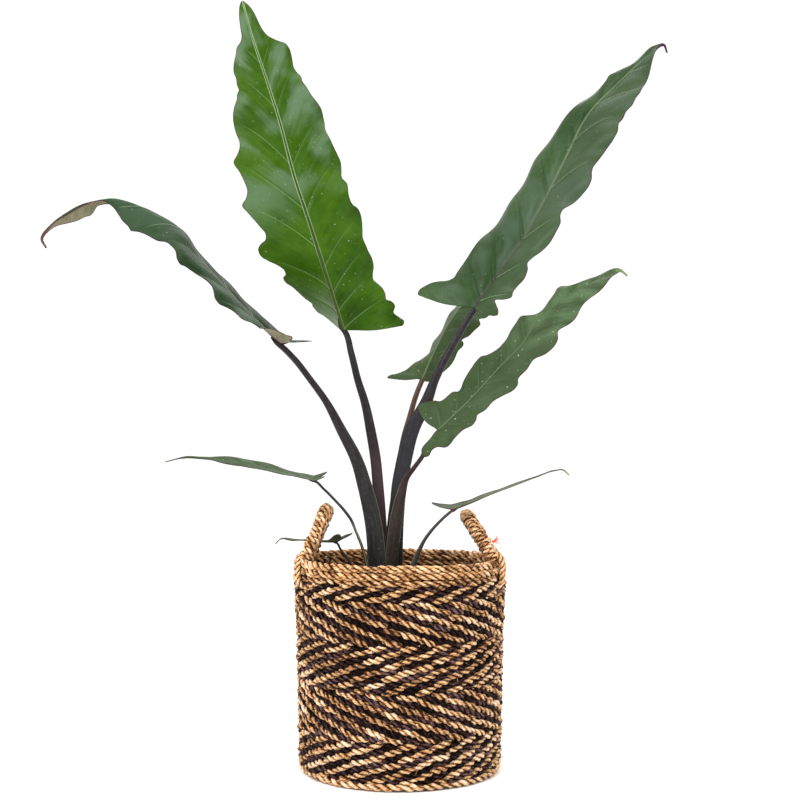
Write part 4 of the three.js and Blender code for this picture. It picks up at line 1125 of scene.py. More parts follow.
# %% Plant 2
add_plant(
    2,
    midrib=[
        (89, 0, 541), (119, 8, 583), (147, 16, 623), (174, 24, 671), (200, 32, 722), (233, 42, 785),
        (271, 50, 825), (306, 54, 858), (319, 55.5, 869), (327, 56.5, 872), (331, 57, 863),
    ],
    face=[(-0.3, -0.85, 0.4), (-0.35, -0.85, 0.35), (-0.4, -0.7, 0.6)],
    left=half(
        outline=[
            (-46, 66), (-47, 72), (-30, 75), (-6, 71), (10, 65), (20, 58), (30, 50), (45, 46),
            (70, 49), (100, 53), (150, 57), (210, 59), (280, 59), (340, 60), (410, 59), (480, 57),
            (540, 52), (600, 45), (640, 34), (680, 27), (720, 22), (760, 18), (790, 17.5), (805, 19),
            (820, 15), (850, 12), (880, 10), (910, 10), (944, 7), (968, 2), (1000, TIP_WIDTH),
        ],
        tilt=[4, 6, 6, 4, 0],
        curl=[0, 0.5, 0.85, 0.95, 1.1, 0.5, 0],
        waves=7, ripple=3,
    ),
    right=half(
        outline=[
            (-4, 20), (-6, 36), (0, 41), (10, 39), (24, 31), (36, 25), (50, 34), (68, 40), (82, 37),
            (98, 38), (126, 43), (151, 41), (172, 34), (190, 34), (221, 38), (253, 43), (281, 45),
            (305, 46), (332, 39), (350, 37), (380, 45), (408, 52), (432, 57), (454, 57), (473, 53),
            (495, 50), (513, 50), (537, 51), (557, 53), (581, 57), (613, 59), (650, 53), (684, 50),
            (718, 46), (740, 48), (766, 46), (785, 45), (807, 40), (841, 32), (871, 25), (900, 18),
            (927, 11), (945, 6), (960, 2), (1000, TIP_WIDTH),
        ],
        tilt=[25, 28, 28, 15, 5],
        curl=[0.3],
        waves=7, shift=0.3, ripple=4,
    ),
    open_side=(-0.3, -1, 0),
    stalk=[
        (-5, 3, 190, 16, 9, 0.4), (-5, 3, 241, 17, 9, 0.5), (-4, 3, 289, 18, 9, 0.5),
        (-1, 3, 328, 19, 9, 0.5), (5, 3, 360, 19, 9, 0.5), (14, 2, 395, 18.5, 9, 0.4),
        (31, 1, 428, 14.5, 9, 0.2), (41, 1, 454, 10.5, 8.5, 0), (65, 0, 500, 8.6, 8, 0),
        (89, 0, 541, 7.4, 6.6, 0),
    ],
)

# %% [markdown]
# ### The arched blade and the middle blade
# The long blade on the left arches over and ends in a narrow tail. It is seen from the side, so its
# near half stands up while its far half folds down more and more. The middle blade on the right is
# nearly flat, and only its outline has to be followed.

# %% Plant 3
add_plant(
    3,
    midrib=[
        (-141, -5, 498), (-174, -2, 529), (-215, 2, 573), (-239, 4, 601), (-260, 4, 633),
        (-299, 4, 657), (-344, 4, 671), (-384, 2, 661), (-417, 0, 637), (-426, 0, 621),
        (-421, 0, 612),
    ],
    face=[
        (0.62, -0.3, 0.62), (0.62, -0.3, 0.62), (0.6, -0.35, 0.65), (0.4, -0.75, 0.6),
        (0.1, -0.1, 0.95), (-0.6, 0.3, 0.75),
    ],
    left=half(
        outline=[
            (-12, 5), (-20, 9), (-18, 13), (0, 17), (30, 23), (74, 33), (90, 38), (104, 46),
            (116, 47), (134, 42), (153, 40), (175, 45), (189, 51), (211, 50), (235, 42), (259, 35),
            (281, 34), (305, 36), (328, 41), (346, 47), (360, 56), (374, 57), (390, 52), (408, 48),
            (432, 46), (477, 44), (517, 41), (555, 39), (585, 39), (603, 40), (615, 37), (640, 34),
            (665, 28), (690, 21), (715, 14), (740, 7), (760, 4.5), (800, 4), (860, 4), (900, 3.2),
            (940, 2), (1000, TIP_WIDTH),
        ],
        tilt=[66, 14, 10, 8, 7, 6, 11, 15, 14, 12, 8, 4, -10, -25, -30, -20, 0],
        curl=[0.2, 0.2, 0.3, 0.3, 0.9, 1, 0.6, 0.2, 0.2],
        waves=6, ripple=1.5,
    ),
    right=half(
        outline=[
            (-30, 20), (-50, 31), (-53, 37), (-42, 40), (-22, 37), (0, 33), (30, 34), (100, 36),
            (200, 37), (300, 39), (400, 41), (500, 41), (580, 37), (640, 27), (680, 17), (710, 10),
            (740, 7), (765, 8), (782, 14), (795, 16), (810, 15), (840, 14.5), (875, 11), (910, 6),
            (940, 3), (1000, TIP_WIDTH),
        ],
        tilt=[2, 2, 2, 0, -12, -36, -42, -52, -62, -50, 0],
        curl=[0.2, 0.6, 0.7, 0.7, 0.6, 0.3],
        waves=8, shift=0.3, ripple=0.5,
    ),
    open_side=(0.35, 1, 0),
    stalk=[
        (-26, -14, 190, 23, 7.5, 0.9), (-27, -14, 243, 23, 7.5, 1), (-32, -13.5, 290, 21, 7.5, 1),
        (-41, -12.5, 328, 18.5, 7.5, 0.9), (-51, -11.5, 360, 15.5, 8, 0.8),
        (-69, -10, 395, 12.5, 8, 0.5), (-88, -8, 430, 8.5, 8, 0.1), (-107, -7, 456, 7.6, 7.6, 0),
        (-125, -6, 479, 7.4, 7.2, 0), (-141, -5, 498, 7, 6.4, 0),
    ],
    lift=40,
)

# %% Plant 4
add_plant(
    4,
    midrib=[
        (44, -52, 395), (76, -46, 425), (115, -36, 467), (143, -28, 496), (161, -22, 522),
        (189, -14, 546), (222, -6, 567), (252, 2, 581), (262, 4, 585), (271, 5, 579),
    ],
    face=[(-0.5, -0.8, 0.35), (-0.45, -0.8, 0.4), (-0.3, -0.6, 0.7)],
    left=half(
        outline=[
            (8, 38), (18, 45), (34, 47), (55, 42), (74, 34), (88, 26), (105, 25), (124, 26),
            (153, 26), (167, 21), (182, 21), (201, 23), (243, 26), (273, 29), (305, 32), (333, 31),
            (346, 25), (372, 20), (390, 19), (424, 21), (485, 24), (531, 22), (556, 22), (572, 16),
            (589, 11), (623, 8), (660, 10), (702, 15), (732, 22), (746, 22), (760, 17), (772, 13),
            (801, 8), (823, 7), (861, 8), (903, 9), (933, 8), (955, 5), (975, 1.5),
            (1000, TIP_WIDTH),
        ],
        tilt=[5],
        waves=7, ripple=2,
    ),
    right=half(
        outline=[
            (-97, 4), (-111, 9), (-113, 15), (-98, 19), (-79, 17), (-57, 18), (-31, 26), (-15, 26),
            (12, 24), (56, 25), (94, 30), (116, 28), (134, 23), (165, 25), (205, 26), (239, 32),
            (279, 37), (314, 35), (334, 30), (386, 31), (428, 29), (467, 35), (503, 38), (529, 38),
            (559, 34), (619, 36), (670, 34), (714, 29), (770, 25), (825, 20), (871, 15), (905, 10),
            (930, 7), (955, 4), (975, 1.5), (1000, TIP_WIDTH),
        ],
        tilt=[5],
        waves=7, shift=0.3, ripple=2,
    ),
    open_side=(-0.3, 1, 0),
    stalk=[
        (-9.5, -15, 190, 15, 7.5, 0.9), (-9.5, -15, 243, 15.5, 7.5, 1),
        (-4.5, -17, 290, 15.5, 7.5, 1), (1, -20, 318, 12, 7.5, 0.8), (8, -26, 340, 7, 6.5, 0.2),
        (17, -32, 352, 5.4, 5.4, 0), (25, -38, 363, 5.2, 5.2, 0), (34, -46, 379, 5.2, 5.2, 0),
        (44, -52, 395, 5.2, 5.2, 0),
    ],
)

# %% [markdown]
# ### The blade behind
# This one stands behind the stalks. The others hide most of it, and both of its halves fold back.

# %% Plant 5
add_plant(
    5,
    midrib=[
        (27, 30, 458), (43, 50, 494), (62, 75, 530), (89, 105, 569), (116, 135, 611),
        (142, 160, 651), (165, 180, 686),
    ],
    face=[(-0.3, -0.9, 0.2), (-0.3, -0.85, 0.4), (-0.2, -0.7, 0.6)],
    left=half(
        outline=[
            (-22, 40), (-24, 45), (-15, 45), (5, 40), (20, 34), (34, 27), (64, 24), (100, 25),
            (150, 28), (200, 26), (260, 30), (330, 31), (380, 28), (450, 30), (520, 28), (600, 25),
            (700, 20), (800, 14), (900, 7), (1000, TIP_WIDTH),
        ],
        tilt=[0, -50, -50, -40, -30, -20, -10],
        waves=6.5, ripple=3,
    ),
    right=half(
        outline=[
            (2, 3), (10, 10), (40, 18), (80, 24), (120, 26), (160, 27), (190, 27), (215, 30),
            (225, 29), (232, 25), (250, 27), (308, 31), (360, 35), (380, 30), (420, 33), (500, 34),
            (540, 28), (600, 28), (700, 24), (800, 18), (900, 9), (1000, TIP_WIDTH),
        ],
        tilt=[-60, -50, -8, -15, -25, -30, -20, -10, 0],
        waves=6.5, shift=0.3, ripple=3,
    ),
    open_side=(0.4, -1, 0),
    stalk=[
        (-13, 18, 190, 11, 8, 0.4), (-13, 18, 240, 11, 8, 0.5), (-10, 18, 288, 10, 8, 0.4),
        (-5, 19, 327, 9, 7.5, 0.2), (0, 20, 359, 8, 7, 0.1), (5, 22, 387, 7.4, 6.6, 0),
        (12, 24, 412, 6.8, 6.4, 0), (19, 27, 436, 6.4, 6.2, 0), (27, 30, 458, 6, 6, 0),
    ],
)

# %% [markdown]
# ### Three small blades
# They grow low down and lie almost level, so the camera sees them edge on. A few points are enough
# for their outlines, and their lobes are lifted to show above the midrib as in the picture.

# %% Plant 6
add_plant(
    6,
    midrib=[
        (-100, -30, 337), (-126, -34, 343), (-154, -38, 350.5), (-185, -40, 357), (-220, -42, 362),
        (-248, -44, 363), (-270, -46, 358),
    ],
    face=[(0, -0.25, 1), (0, -0.4, 1), (0, -0.3, 1)],
    left=half(
        outline=[
            (-50, 5), (-60, 10), (-30, 13), (100, 13), (200, 15), (280, 13), (360, 15), (420, 16),
            (480, 12), (560, 12), (620, 12), (680, 8), (760, 4), (840, 2.2), (880, 3), (920, 1.2),
            (1000, TIP_WIDTH),
        ],
        tilt=[14, 12, 5, 0],
        waves=4, ripple=0.6,
    ),
    right=half(
        outline=[
            (-75, 9), (-80, 12), (-40, 13), (100, 12), (250, 14), (400, 14), (550, 12), (680, 7),
            (760, 3.5), (880, 2), (1000, TIP_WIDTH),
        ],
        tilt=[6, 4, 0],
        waves=4, shift=0.3, ripple=0.6,
    ),
    open_side=(1, -0.1, 0),
    stalk=[
        (-35, -27, 190, 9, 6, 0.6), (-37.5, -27.5, 238, 9.5, 6, 0.8),
        (-43.5, -28, 261, 8.5, 5.5, 0.8), (-50, -28.5, 277, 7, 5, 0.7),
        (-56, -29, 290, 4.4, 4.1, 0.2), (-65, -29.5, 302, 3.5, 3.4, 0), (-75, -30, 313, 3.3, 3.2, 0),
        (-88, -30, 326, 3.2, 3.1, 0), (-100, -30, 337, 3.1, 3, 0),
    ],
    lift=34,
)

# %% Plant 7
add_plant(
    7,
    midrib=[
        (-79, 66, 258), (-99, 72, 258), (-118, 78, 259), (-137, 80, 260), (-149, 82, 260),
        (-155, 82, 254),
    ],
    face=[(0.1, -0.25, 1), (0, -0.2, 1)],
    left=half(
        outline=[
            (-90, 3), (-90, 8), (-40, 12), (10, 12), (50, 8), (80, 4), (300, 4), (600, 4),
            (900, 1.8), (1000, TIP_WIDTH),
        ],
        tilt=[62, 40, 5, 0, -10],
        curl=[0.3],
        waves=3, scallop=0.6, ripple=0.8,
    ),
    right=half(
        outline=[
            (-260, 2), (-270, 5), (-200, 7), (-50, 7), (50, 5), (120, 4), (400, 5), (700, 4),
            (900, 2), (1000, TIP_WIDTH),
        ],
        tilt=[10, 0, -10],
        curl=[0.3],
        waves=3, shift=0.3, scallop=0.6, ripple=0.8,
    ),
    open_side=(0.6, -0.8, 0),
    stalk=[
        (-52, 64, 190, 4.4, 4, 0), (-59, 65, 228, 3.6, 3.4, 0), (-66, 66, 239, 3.2, 3.1, 0),
        (-73, 66, 248.5, 3, 2.9, 0), (-79, 66, 258, 2.8, 2.7, 0),
    ],
    lift=26,
)

# %% Plant 8
add_plant(
    8,
    midrib=[
        (61, -35, 303), (82, -36, 311), (105, -38, 321), (129, -40, 330), (155, -42, 340),
        (178, -44, 348), (187, -45, 349), (194, -46, 343),
    ],
    face=[(-0.2, 0.1, 1), (-0.2, 0.05, 1)],
    left=half(
        outline=[
            (-130, 3), (-140, 7), (-80, 8), (0, 8.5), (80, 8.5), (200, 8), (290, 8), (320, 9.5),
            (350, 8), (500, 8), (620, 6.5), (750, 4), (850, 2), (930, 1.2), (1000, TIP_WIDTH),
        ],
        tilt=[42, 26, 16, 14, 10, 6, 0],
        curl=[0.1],
        waves=4, ripple=0.4,
    ),
    right=half(
        outline=[
            (-130, 3), (-140, 6), (-80, 7), (0, 8), (80, 8), (300, 8), (500, 7.5), (620, 6),
            (750, 4), (850, 2), (930, 1.2), (1000, TIP_WIDTH),
        ],
        tilt=[42, 26, 16, 14, 10, 6, 0],
        curl=[0.1],
        waves=4, shift=0.3, ripple=0.4,
    ),
    open_side=(-0.6, 0.8, 0),
    stalk=[
        (9, -28, 190, 8, 5.5, 0.6), (15, -28, 237.5, 8, 5.5, 0.7), (21.5, -29, 254, 6, 4.8, 0.4),
        (28.7, -30, 268, 4.3, 4, 0.1), (36.5, -31, 278.5, 3.7, 3.6, 0), (46, -33, 289, 3.5, 3.4, 0),
        (54, -34, 296.5, 3.4, 3.3, 0), (61, -35, 303, 3.2, 3.1, 0),
    ],
    lift=30,
)

# %% [markdown]
# ## The vein map
# Side veins leave the midrib at thirty to forty degrees, run nearly straight, and end in the crests of
# the waved margin. Down in the lobes they fan out until they run square to the midrib. For every
# point of a blade one number says which vein it lies on or between: it is whole on a vein and a half
# midway. The finish draws the veins from it, and the mesh puffs up between them.

# %% Vein places
# How far a side vein runs forward for each millimetre out, low and high on a blade: on its left half
# and on its right.
VEIN_SLANT = {1: ((1.35, 1.8), (1.0, 1.6)), 2: ((1.4, 1.4), (1.1, 1.3))}
PLAIN_SLANT = ((1.1, 1.1), (1.1, 1.1))
# Where the side veins leave the midrib, in shares of its length: on the left half and on the right.
SIDE_VEINS = {
    1: (
        [-0.14, -0.06, 0.0, 0.047, 0.112, 0.236, 0.346, 0.483, 0.66, 0.8, 1.1],
        [-0.1, -0.05, 0, 0.05, 0.1, 0.175, 0.34, 0.474, 0.652, 0.79, 1.1],
    ),
    2: (
        [-0.15, -0.06, 0.02, 0.09, 0.24, 0.39, 0.57, 0.72, 0.85, 1.1],
        [-0.13, -0.05, 0.02, 0.1, 0.24, 0.41, 0.57, 0.7, 0.84, 1.1],
    ),
}
PLAIN_VEINS = (
    [-0.16, -0.07, 0.01, 0.09, 0.21, 0.34, 0.48, 0.62, 0.75, 0.87, 1.1],
    [-0.14, -0.05, 0.03, 0.12, 0.24, 0.37, 0.51, 0.65, 0.78, 0.89, 1.1],
)
# A vein rises faster near the midrib than at the margin.
STEEP, FLATTENS_BY, FLAT_AT = 1.12, 0.3, 60
# Distance from vein to vein across them, as a share of that along the midrib.
VEIN_SPACING = 0.68


def vein_phase(u, out, length, roots, slant):
    """Number of the vein through a point, and the mm between two veins there."""
    low, high = slant
    bent = STEEP - FLATTENS_BY * out / FLAT_AT
    root = u - out * low / length
    # Each round comes nearer to the place where the vein through this point leaves the midrib.
    for _ in range(6):
        root = u - out * bent * np.interp(root, [-0.1, -0.02, 0.1, 0.6], [0.1, 0.45, low, high]) / length
    phase = np.interp(root, roots, np.arange(len(roots)))
    spread = np.gradient(np.array(roots)) * length * VEIN_SPACING
    return phase, np.interp(root, roots, spread)


print("side veins on a plain blade:", len(PLAIN_VEINS[0]) - 1)

# %% [markdown]
# ## The blade as a mesh
# A blade could be a flat sheet that modifiers bend, but each of these bends in its own way, so its
# points are worked out. Rows run from the midrib to the margin, closer together where the midrib
# stands out. First comes one half as a surface without thickness, and then both halves get an upper
# face, a lower face with the raised midrib, and a strip round the edge.

# %% Half a blade
# Shares of the way from the midrib to the margin.
ACROSS = np.array([
    0, 0.012, 0.024, 0.036, 0.05, 0.07, 0.1, 0.14, 0.19, 0.25, 0.31, 0.37,
    0.43, 0.49, 0.55, 0.61, 0.67, 0.73, 0.79, 0.85, 0.9, 0.94, 0.97, 1,
])
# Above 1 the rows fan out towards the foot of the blade, where the lobes are.
ROW_FAN = 1.3
# The rows bow back by this much near the foot.
ROW_BOW = 4
# A half with a curl of 1 is rolled to this radius.
ROLL_RADIUS = 50
# Where the waves of the margin fade out, near the foot and near the tip.
WAVES_BEGIN, WAVES_END = 0.05, 0.93


def blade_half(plant, side, roots, slant, puff, rows):
    """Points of one half, row by row from the midrib out, with what the finish wants to know."""
    form = plant["left"] if side < 0 else plant["right"]
    length = plant["length"]
    outline = smooth_curve([(place / 1000 * length, out, 0) for place, out in form["outline"]])
    q = np.linspace(0, 1, rows)
    here = outline(q)
    run = unit(outline(np.minimum(q + NUDGE, 1)) - outline(np.maximum(q - NUDGE, 0)))
    phase = 2 * np.pi * (form["waves"] * q + form["shift"])
    envelope = ease(0, WAVES_BEGIN, q) * (1 - ease(WAVES_END, 1, q))
    crest = (np.cos(phase) - 0.35 * np.cos(2 * phase)) * form["scallop"] * envelope
    share = (here[:, 0] - run[:, 1] * crest) / length
    out = np.maximum(here[:, 1] + run[:, 0] * crest, 0)[:, None]
    v = ACROSS[None]
    bow = ROW_BOW / length * ((1 - q) ** 10)[:, None] * np.sin(np.pi * v)
    root = (q**ROW_FAN)[:, None]
    u = root + (share[:, None] - root) * v - bow
    x = out * v

    centre = plant["curve"](u)
    forward = unit(plant["curve"](u + NUDGE) - centre)
    face = np.array(plant["face"], float)
    up = np.stack([along(face[:, k], u) for k in range(3)], -1)
    up = unit(up - forward * (up * forward).sum(-1, keepdims=True))
    across = np.cross(forward, up)
    tilt = np.radians(along(form["tilt"], u))
    curl = np.maximum(along(form["curl"], u), NUDGE)
    rolled = x / ROLL_RADIUS * curl
    sideways = ROLL_RADIUS / curl * (np.sin(tilt) - np.sin(tilt - rolled))
    wave = (form["ripple"] * envelope * np.cos(phase + 0.4 * np.pi))[:, None] * v**2.2
    rise = ROLL_RADIUS / curl * (np.cos(tilt - rolled) - np.cos(tilt)) + wave
    lift = np.maximum(-u, 0) * length * np.tan(np.radians(plant["lift"]))

    number, spacing = vein_phase(u, x, length, roots, slant)
    hump = np.sin(np.pi * number) ** 2 * ease(0.02, 0.2, v) * (1 - ease(0.7, 1, v))
    rise = rise + lift + puff * hump
    return {
        "points": centre + side * across * sideways[..., None] + up * rise[..., None],
        "veins": np.stack([number, spacing], -1),
        "form": np.stack([side * x, out * (1 - v) + 0 * x], -1),
        "place": np.stack([v + 0 * x, u], -1),
    }


print("points across a blade:", 2 * len(ACROSS) - 1)

# %% Whole blade
BLADE_THICKNESS = 0.9
# The margin is thinner by this share.
MARGIN_THINS = 0.4
# The midrib loses this share of its height on the way to the tip. Its reach to each side is in
# heights, and this share of it stands up on the upper face.
MIDRIB_TAPERS = 0.75
MIDRIB_REACH, MIDRIB_LEAST_REACH = 1.9, 0.3
MIDRIB_ABOVE = 0.12


def both_faces(left, right, rib):
    """The upper and the lower points of a blade, from its two halves."""
    grid = np.concatenate([left["points"][:, :0:-1], right["points"]], axis=1)
    rows, wide = grid.shape[:2]
    normal = unit(np.cross(np.gradient(grid, axis=1), np.gradient(grid, axis=0)))
    x = np.abs(np.concatenate([left["form"][:, :0:-1, 0], right["form"][:, :, 0]], axis=1))
    taper = 1 - MIDRIB_TAPERS * np.linspace(0, 1, rows)[:, None]
    reach = rib * (MIDRIB_REACH * taper + MIDRIB_LEAST_REACH)
    ridge = (np.sqrt(np.clip(1 - (x / reach) ** 2, 0, 1)) * rib * taper)[..., None]
    to_margin = np.abs(np.linspace(-1, 1, wide))
    half = BLADE_THICKNESS / 2 * (1 - MARGIN_THINS * ease(0.8, 1, to_margin))[None, :, None]
    return grid + normal * (half + MIDRIB_ABOVE * ridge), grid - normal * (half + (1 - MIDRIB_ABOVE) * ridge)


def blade(plant, number, puff, rows):
    """Both faces of a blade and the narrow strip round its edge."""
    left_veins, right_veins = SIDE_VEINS.get(number, PLAIN_VEINS)
    left_slant, right_slant = VEIN_SLANT.get(number, PLAIN_SLANT)
    left = blade_half(plant, -1, left_veins, left_slant, puff, rows)
    right = blade_half(plant, 1, right_veins, right_slant, puff, rows)
    upper, lower = both_faces(left, right, plant["rib"])
    wide = upper.shape[1]
    row, column = np.meshgrid(np.arange(rows - 1), np.arange(wide - 1), indexing="ij")
    row4 = np.stack([row, row, row + 1, row + 1], -1).reshape(-1, 4)
    column4 = np.stack([column, column + 1, column + 1, column], -1).reshape(-1, 4)
    sheet = row4 * wide + column4
    count = rows * wide
    edge = np.concatenate([
        np.arange(wide - 1),
        np.arange(rows - 1) * wide + wide - 1,
        (rows - 1) * wide + np.arange(wide - 1, 0, -1),
        np.arange(rows - 1, 0, -1) * wide,
    ])
    after = np.roll(edge, -1)
    strip = np.stack([edge, edge + count, after + count, after], -1)
    strip_row, strip_column = np.divmod(np.stack([edge, edge, after, after], -1), wide)

    # The faces left of the midrib read the left half's maps, also at the midrib itself.
    on_left = (column4.max(axis=1) < len(ACROSS))[:, None, None]
    maps = {}
    for key in ("veins", "form", "place"):
        by_left = np.concatenate([left[key][:, ::-1], right[key][:, 1:]], axis=1)
        by_right = np.concatenate([left[key][:, :0:-1], right[key]], axis=1)
        corners = np.where(on_left, by_left[row4, column4], by_right[row4, column4])
        maps[key] = np.vstack([corners, corners[:, ::-1], by_right[strip_row, strip_column]])
    return {
        "points": np.vstack([upper.reshape(-1, 3), lower.reshape(-1, 3)]),
        "faces": np.vstack([sheet, sheet[:, ::-1] + count, strip]),
        "maps": maps,
        "pick": np.repeat([0, 1, 0], [len(sheet), len(sheet), len(strip)]),
    }


print("blade thickness, mm:", BLADE_THICKNESS)

# %% [markdown]
# ## Leaf finishes
# The upper side is satin green. The colour shifts softly from patch to patch, the margin has a thin
# purple-brown line, and most midribs and side veins are pale. Fine veins run beside the side veins and
# show mostly in the way they break the gloss, so they go into the bump. The underside is a dull
# purple grey with darker veins. A picture of a leaf could be laid over the blade, but a net that
# reads the vein map stays sharp from near by, and one recipe serves all eight blades.

# %% Leaf recipe
SHEEN_GRAIN, PATCH_GRAIN, MOTTLE_GRAIN, DUST_GRAIN = 13.0, 16.0, 110.0, 420.0
DUST = (190, 196, 180)
DARK_MARGIN = (58, 34, 36)


def add_painted_sheen(finish, green, painted_sheen, near_vein, fine, up_leaf):
    """Painted sheen: grey-green patches that stand for the soft gloss on the upper side."""
    sheen_colour, begins, amount = painted_sheen
    cloud = finish.speckle(SHEEN_GRAIN) + near_vein * 0.3 + fine * 0.14
    cloud = finish.step(cloud, 0.62, 0.8) * amount * finish.step(up_leaf, begins, begins + 0.3)
    return finish.mix(cloud, green, sheen_colour)


def add_midrib(finish, veined, rib, rib_width, from_rib, up_leaf):
    at_stalk, further_on, rib_highlight = rib
    rib_place = abs(from_rib) + up_leaf * (0.7 * rib_width)
    rib_colour = finish.mix(finish.step(up_leaf, 0.05, 0.6), at_stalk, further_on)
    on_rib = finish.near(rib_place, rib_width * 0.75, rib_width)
    # The bands along both sides of the midrib are painted highlight on its raised sides.
    rib_highlight_band = finish.near(rib_place, rib_width * 1.1, rib_width * 1.5)
    paler = finish.step(up_leaf, 0.1, 0.5) * 0.6 + 0.25
    return finish.mix(on_rib, finish.mix(rib_highlight_band * paler, veined, rib_highlight), rib_colour)


def leaf_finish(
    name, greens, rib, veins, margin, roughness, rib_width,
    tip=None, painted_sheen=None, right=None, sunk=1.0, specular=0.04, dusty=0.2,
):
    """rib: colours of the midrib at the stalk, further on, and of the painted highlight along its sides.
    veins: colours of the side veins on the left half and on the right, and how strongly they show.
    painted_sheen: colour of the painted sheen patches, where they begin, and how much there is. right:
    a colour of painted light over the right half, and how much."""
    finish = Finish(name, roughness, specular)
    number, spacing = finish.read_map("veins")
    from_rib, from_margin = finish.read_map("form")
    across, up_leaf = finish.read_map("place")
    near_vein = finish.maths("PINGPONG", number, 0.5)
    to_vein = near_vein * spacing + across * 0.25
    fade = finish.near(across, 0.45, 0.97)
    fine = finish.noise(number * 9.0, across * 2.6, up_leaf, detail=3.0)
    shade = finish.speckle(PATCH_GRAIN, 2.5) * 0.75 + finish.speckle(MOTTLE_GRAIN, 3.0) * 0.2 + fine * 0.22
    green = finish.ramp(shade, list(zip((0.38, 0.58, 0.78), greens)))
    # Grey-green patches of painted sheen over the upper side.
    if painted_sheen:
        green = add_painted_sheen(finish, green, painted_sheen, near_vein, fine, up_leaf)
    on_right = finish.step(from_rib, -0.1, 0.1)
    # A colour over the right half is painted light: sheen on the dark blade, shade on the arched blade's far
    # half.
    if right:
        green = finish.mix(on_right * right[1], green, right[0])
    left_veins, right_veins, strength = veins
    line = finish.near(to_vein, 0.15, 0.7) * fade
    veined = finish.mix(line * strength, green, finish.mix(on_right, left_veins, right_veins))
    ribbed = add_midrib(finish, veined, rib, rib_width, from_rib, up_leaf)
    dust = finish.step(finish.speckle(DUST_GRAIN, 0.0), 0.8, 0.84) * dusty
    edged = finish.mix(finish.near(from_margin, 0.25, 1.0), finish.mix(dust, ribbed, DUST), margin)
    if tip:
        edged = finish.mix(finish.step(up_leaf, 0.93, 0.985), edged, tip)
    finish.colour(edged)
    if sunk:
        groove = finish.near(to_vein, 0.2, 4.0) * fade
        finish.bump(groove * -sunk + fine * 0.05, 0.8)
    print(name, "has", len(finish.tree.nodes), "nodes")
    return finish


# %% Undersides
leaf_under = leaf_finish(
    "leaf underside",
    greens=((70, 54, 60), (92, 80, 82), (112, 104, 98)),
    rib=((58, 34, 40), (66, 44, 48), (84, 66, 68)),
    veins=((54, 32, 40), (54, 32, 40), 0.6),
    margin=(52, 30, 38),
    roughness=0.55,
    rib_width=3.2,
    sunk=-1.0,
)
leaf_pale_under = leaf_finish(
    "pale leaf underside",
    greens=((98, 110, 86), (116, 128, 104), (132, 142, 120)),
    rib=((70, 52, 48), (110, 108, 92), (110, 112, 94)),
    veins=((78, 78, 62), (78, 78, 62), 0.5),
    margin=(84, 78, 66),
    roughness=0.55,
    rib_width=1.8,
    sunk=-1.0,
)
leaf_arched_under = leaf_finish(
    "arched leaf underside",
    greens=((88, 88, 66), (112, 110, 86), (140, 136, 116)),
    rib=((70, 44, 46), (96, 66, 66), (110, 84, 84)),
    veins=((84, 60, 62), (84, 60, 62), 0.5),
    margin=(84, 44, 50),
    roughness=0.5,
    rib_width=2.2,
    sunk=0,
)

# %% Upper sides
leaf_bright = leaf_finish(
    "bright leaf",
    greens=((33, 59, 7), (48, 80, 10), (63, 95, 23)),
    rib=((54, 66, 24), (46, 64, 26), (132, 154, 116)),
    veins=((124, 154, 104), (92, 120, 80), 0.55),
    margin=(58, 46, 26),
    roughness=0.33,
    rib_width=2.3,
    painted_sheen=((92, 114, 88), 0.24, 0.72),
    specular=0.05,
    dusty=0.22,
)
leaf_dark = leaf_finish(
    "dark leaf",
    greens=((29, 52, 20), (42, 66, 32), (58, 81, 46)),
    rib=((56, 46, 44), (92, 108, 78), (84, 100, 74)),
    # On the left half the side veins are painted dark: painted shade of their grooves.
    veins=((28, 40, 26), (116, 140, 104), 0.75),
    margin=DARK_MARGIN,
    roughness=0.38,
    rib_width=1.8,
    tip=(52, 28, 52),
    painted_sheen=((68, 85, 70), -0.1, 0.5),
    # The right half is painted greyer: painted sheen.
    right=((68, 80, 60), 0.3),
    sunk=1.4,
    specular=0.12,
    dusty=0.15,
)
leaf_arched = leaf_finish(
    "arched leaf",
    greens=((24, 43, 21), (34, 53, 29), (45, 64, 40)),
    rib=((120, 110, 92), (112, 116, 92), (70, 88, 62)),
    veins=((130, 156, 124), (130, 156, 124), 0.7),
    margin=DARK_MARGIN,
    roughness=0.4,
    rib_width=0.9,
    tip=(112, 84, 80),
    painted_sheen=((64, 82, 64), -0.3, 0.5),
    # The right half is the far half, which folds down; it is painted darker, as painted shade.
    right=((33, 42, 28), 0.6),
    sunk=0,
)
leaf_middle = leaf_finish(
    "middle green leaf",
    greens=((46, 62, 34), (56, 72, 44), (68, 84, 54)),
    rib=((84, 102, 72), (84, 104, 74), (62, 78, 50)),
    veins=((84, 104, 74), (84, 104, 74), 0.35),
    margin=DARK_MARGIN,
    roughness=0.42,
    rib_width=0.8,
    tip=(108, 132, 90),
    painted_sheen=((84, 108, 74), 0.3, 0.65),
    sunk=0.5,
    specular=0.06,
    dusty=0.45,
)

# %% Blades
SMALL = (6, 7, 8)
ROWS, ROWS_OF_A_SMALL_BLADE = 170, 84
MIDRIB_HEIGHT = 2.1
BLADE_FINISH = {1: leaf_bright, 2: leaf_dark, 3: leaf_arched}
UNDER_FINISH = {3: leaf_arched_under, 6: leaf_pale_under, 7: leaf_pale_under, 8: leaf_pale_under}
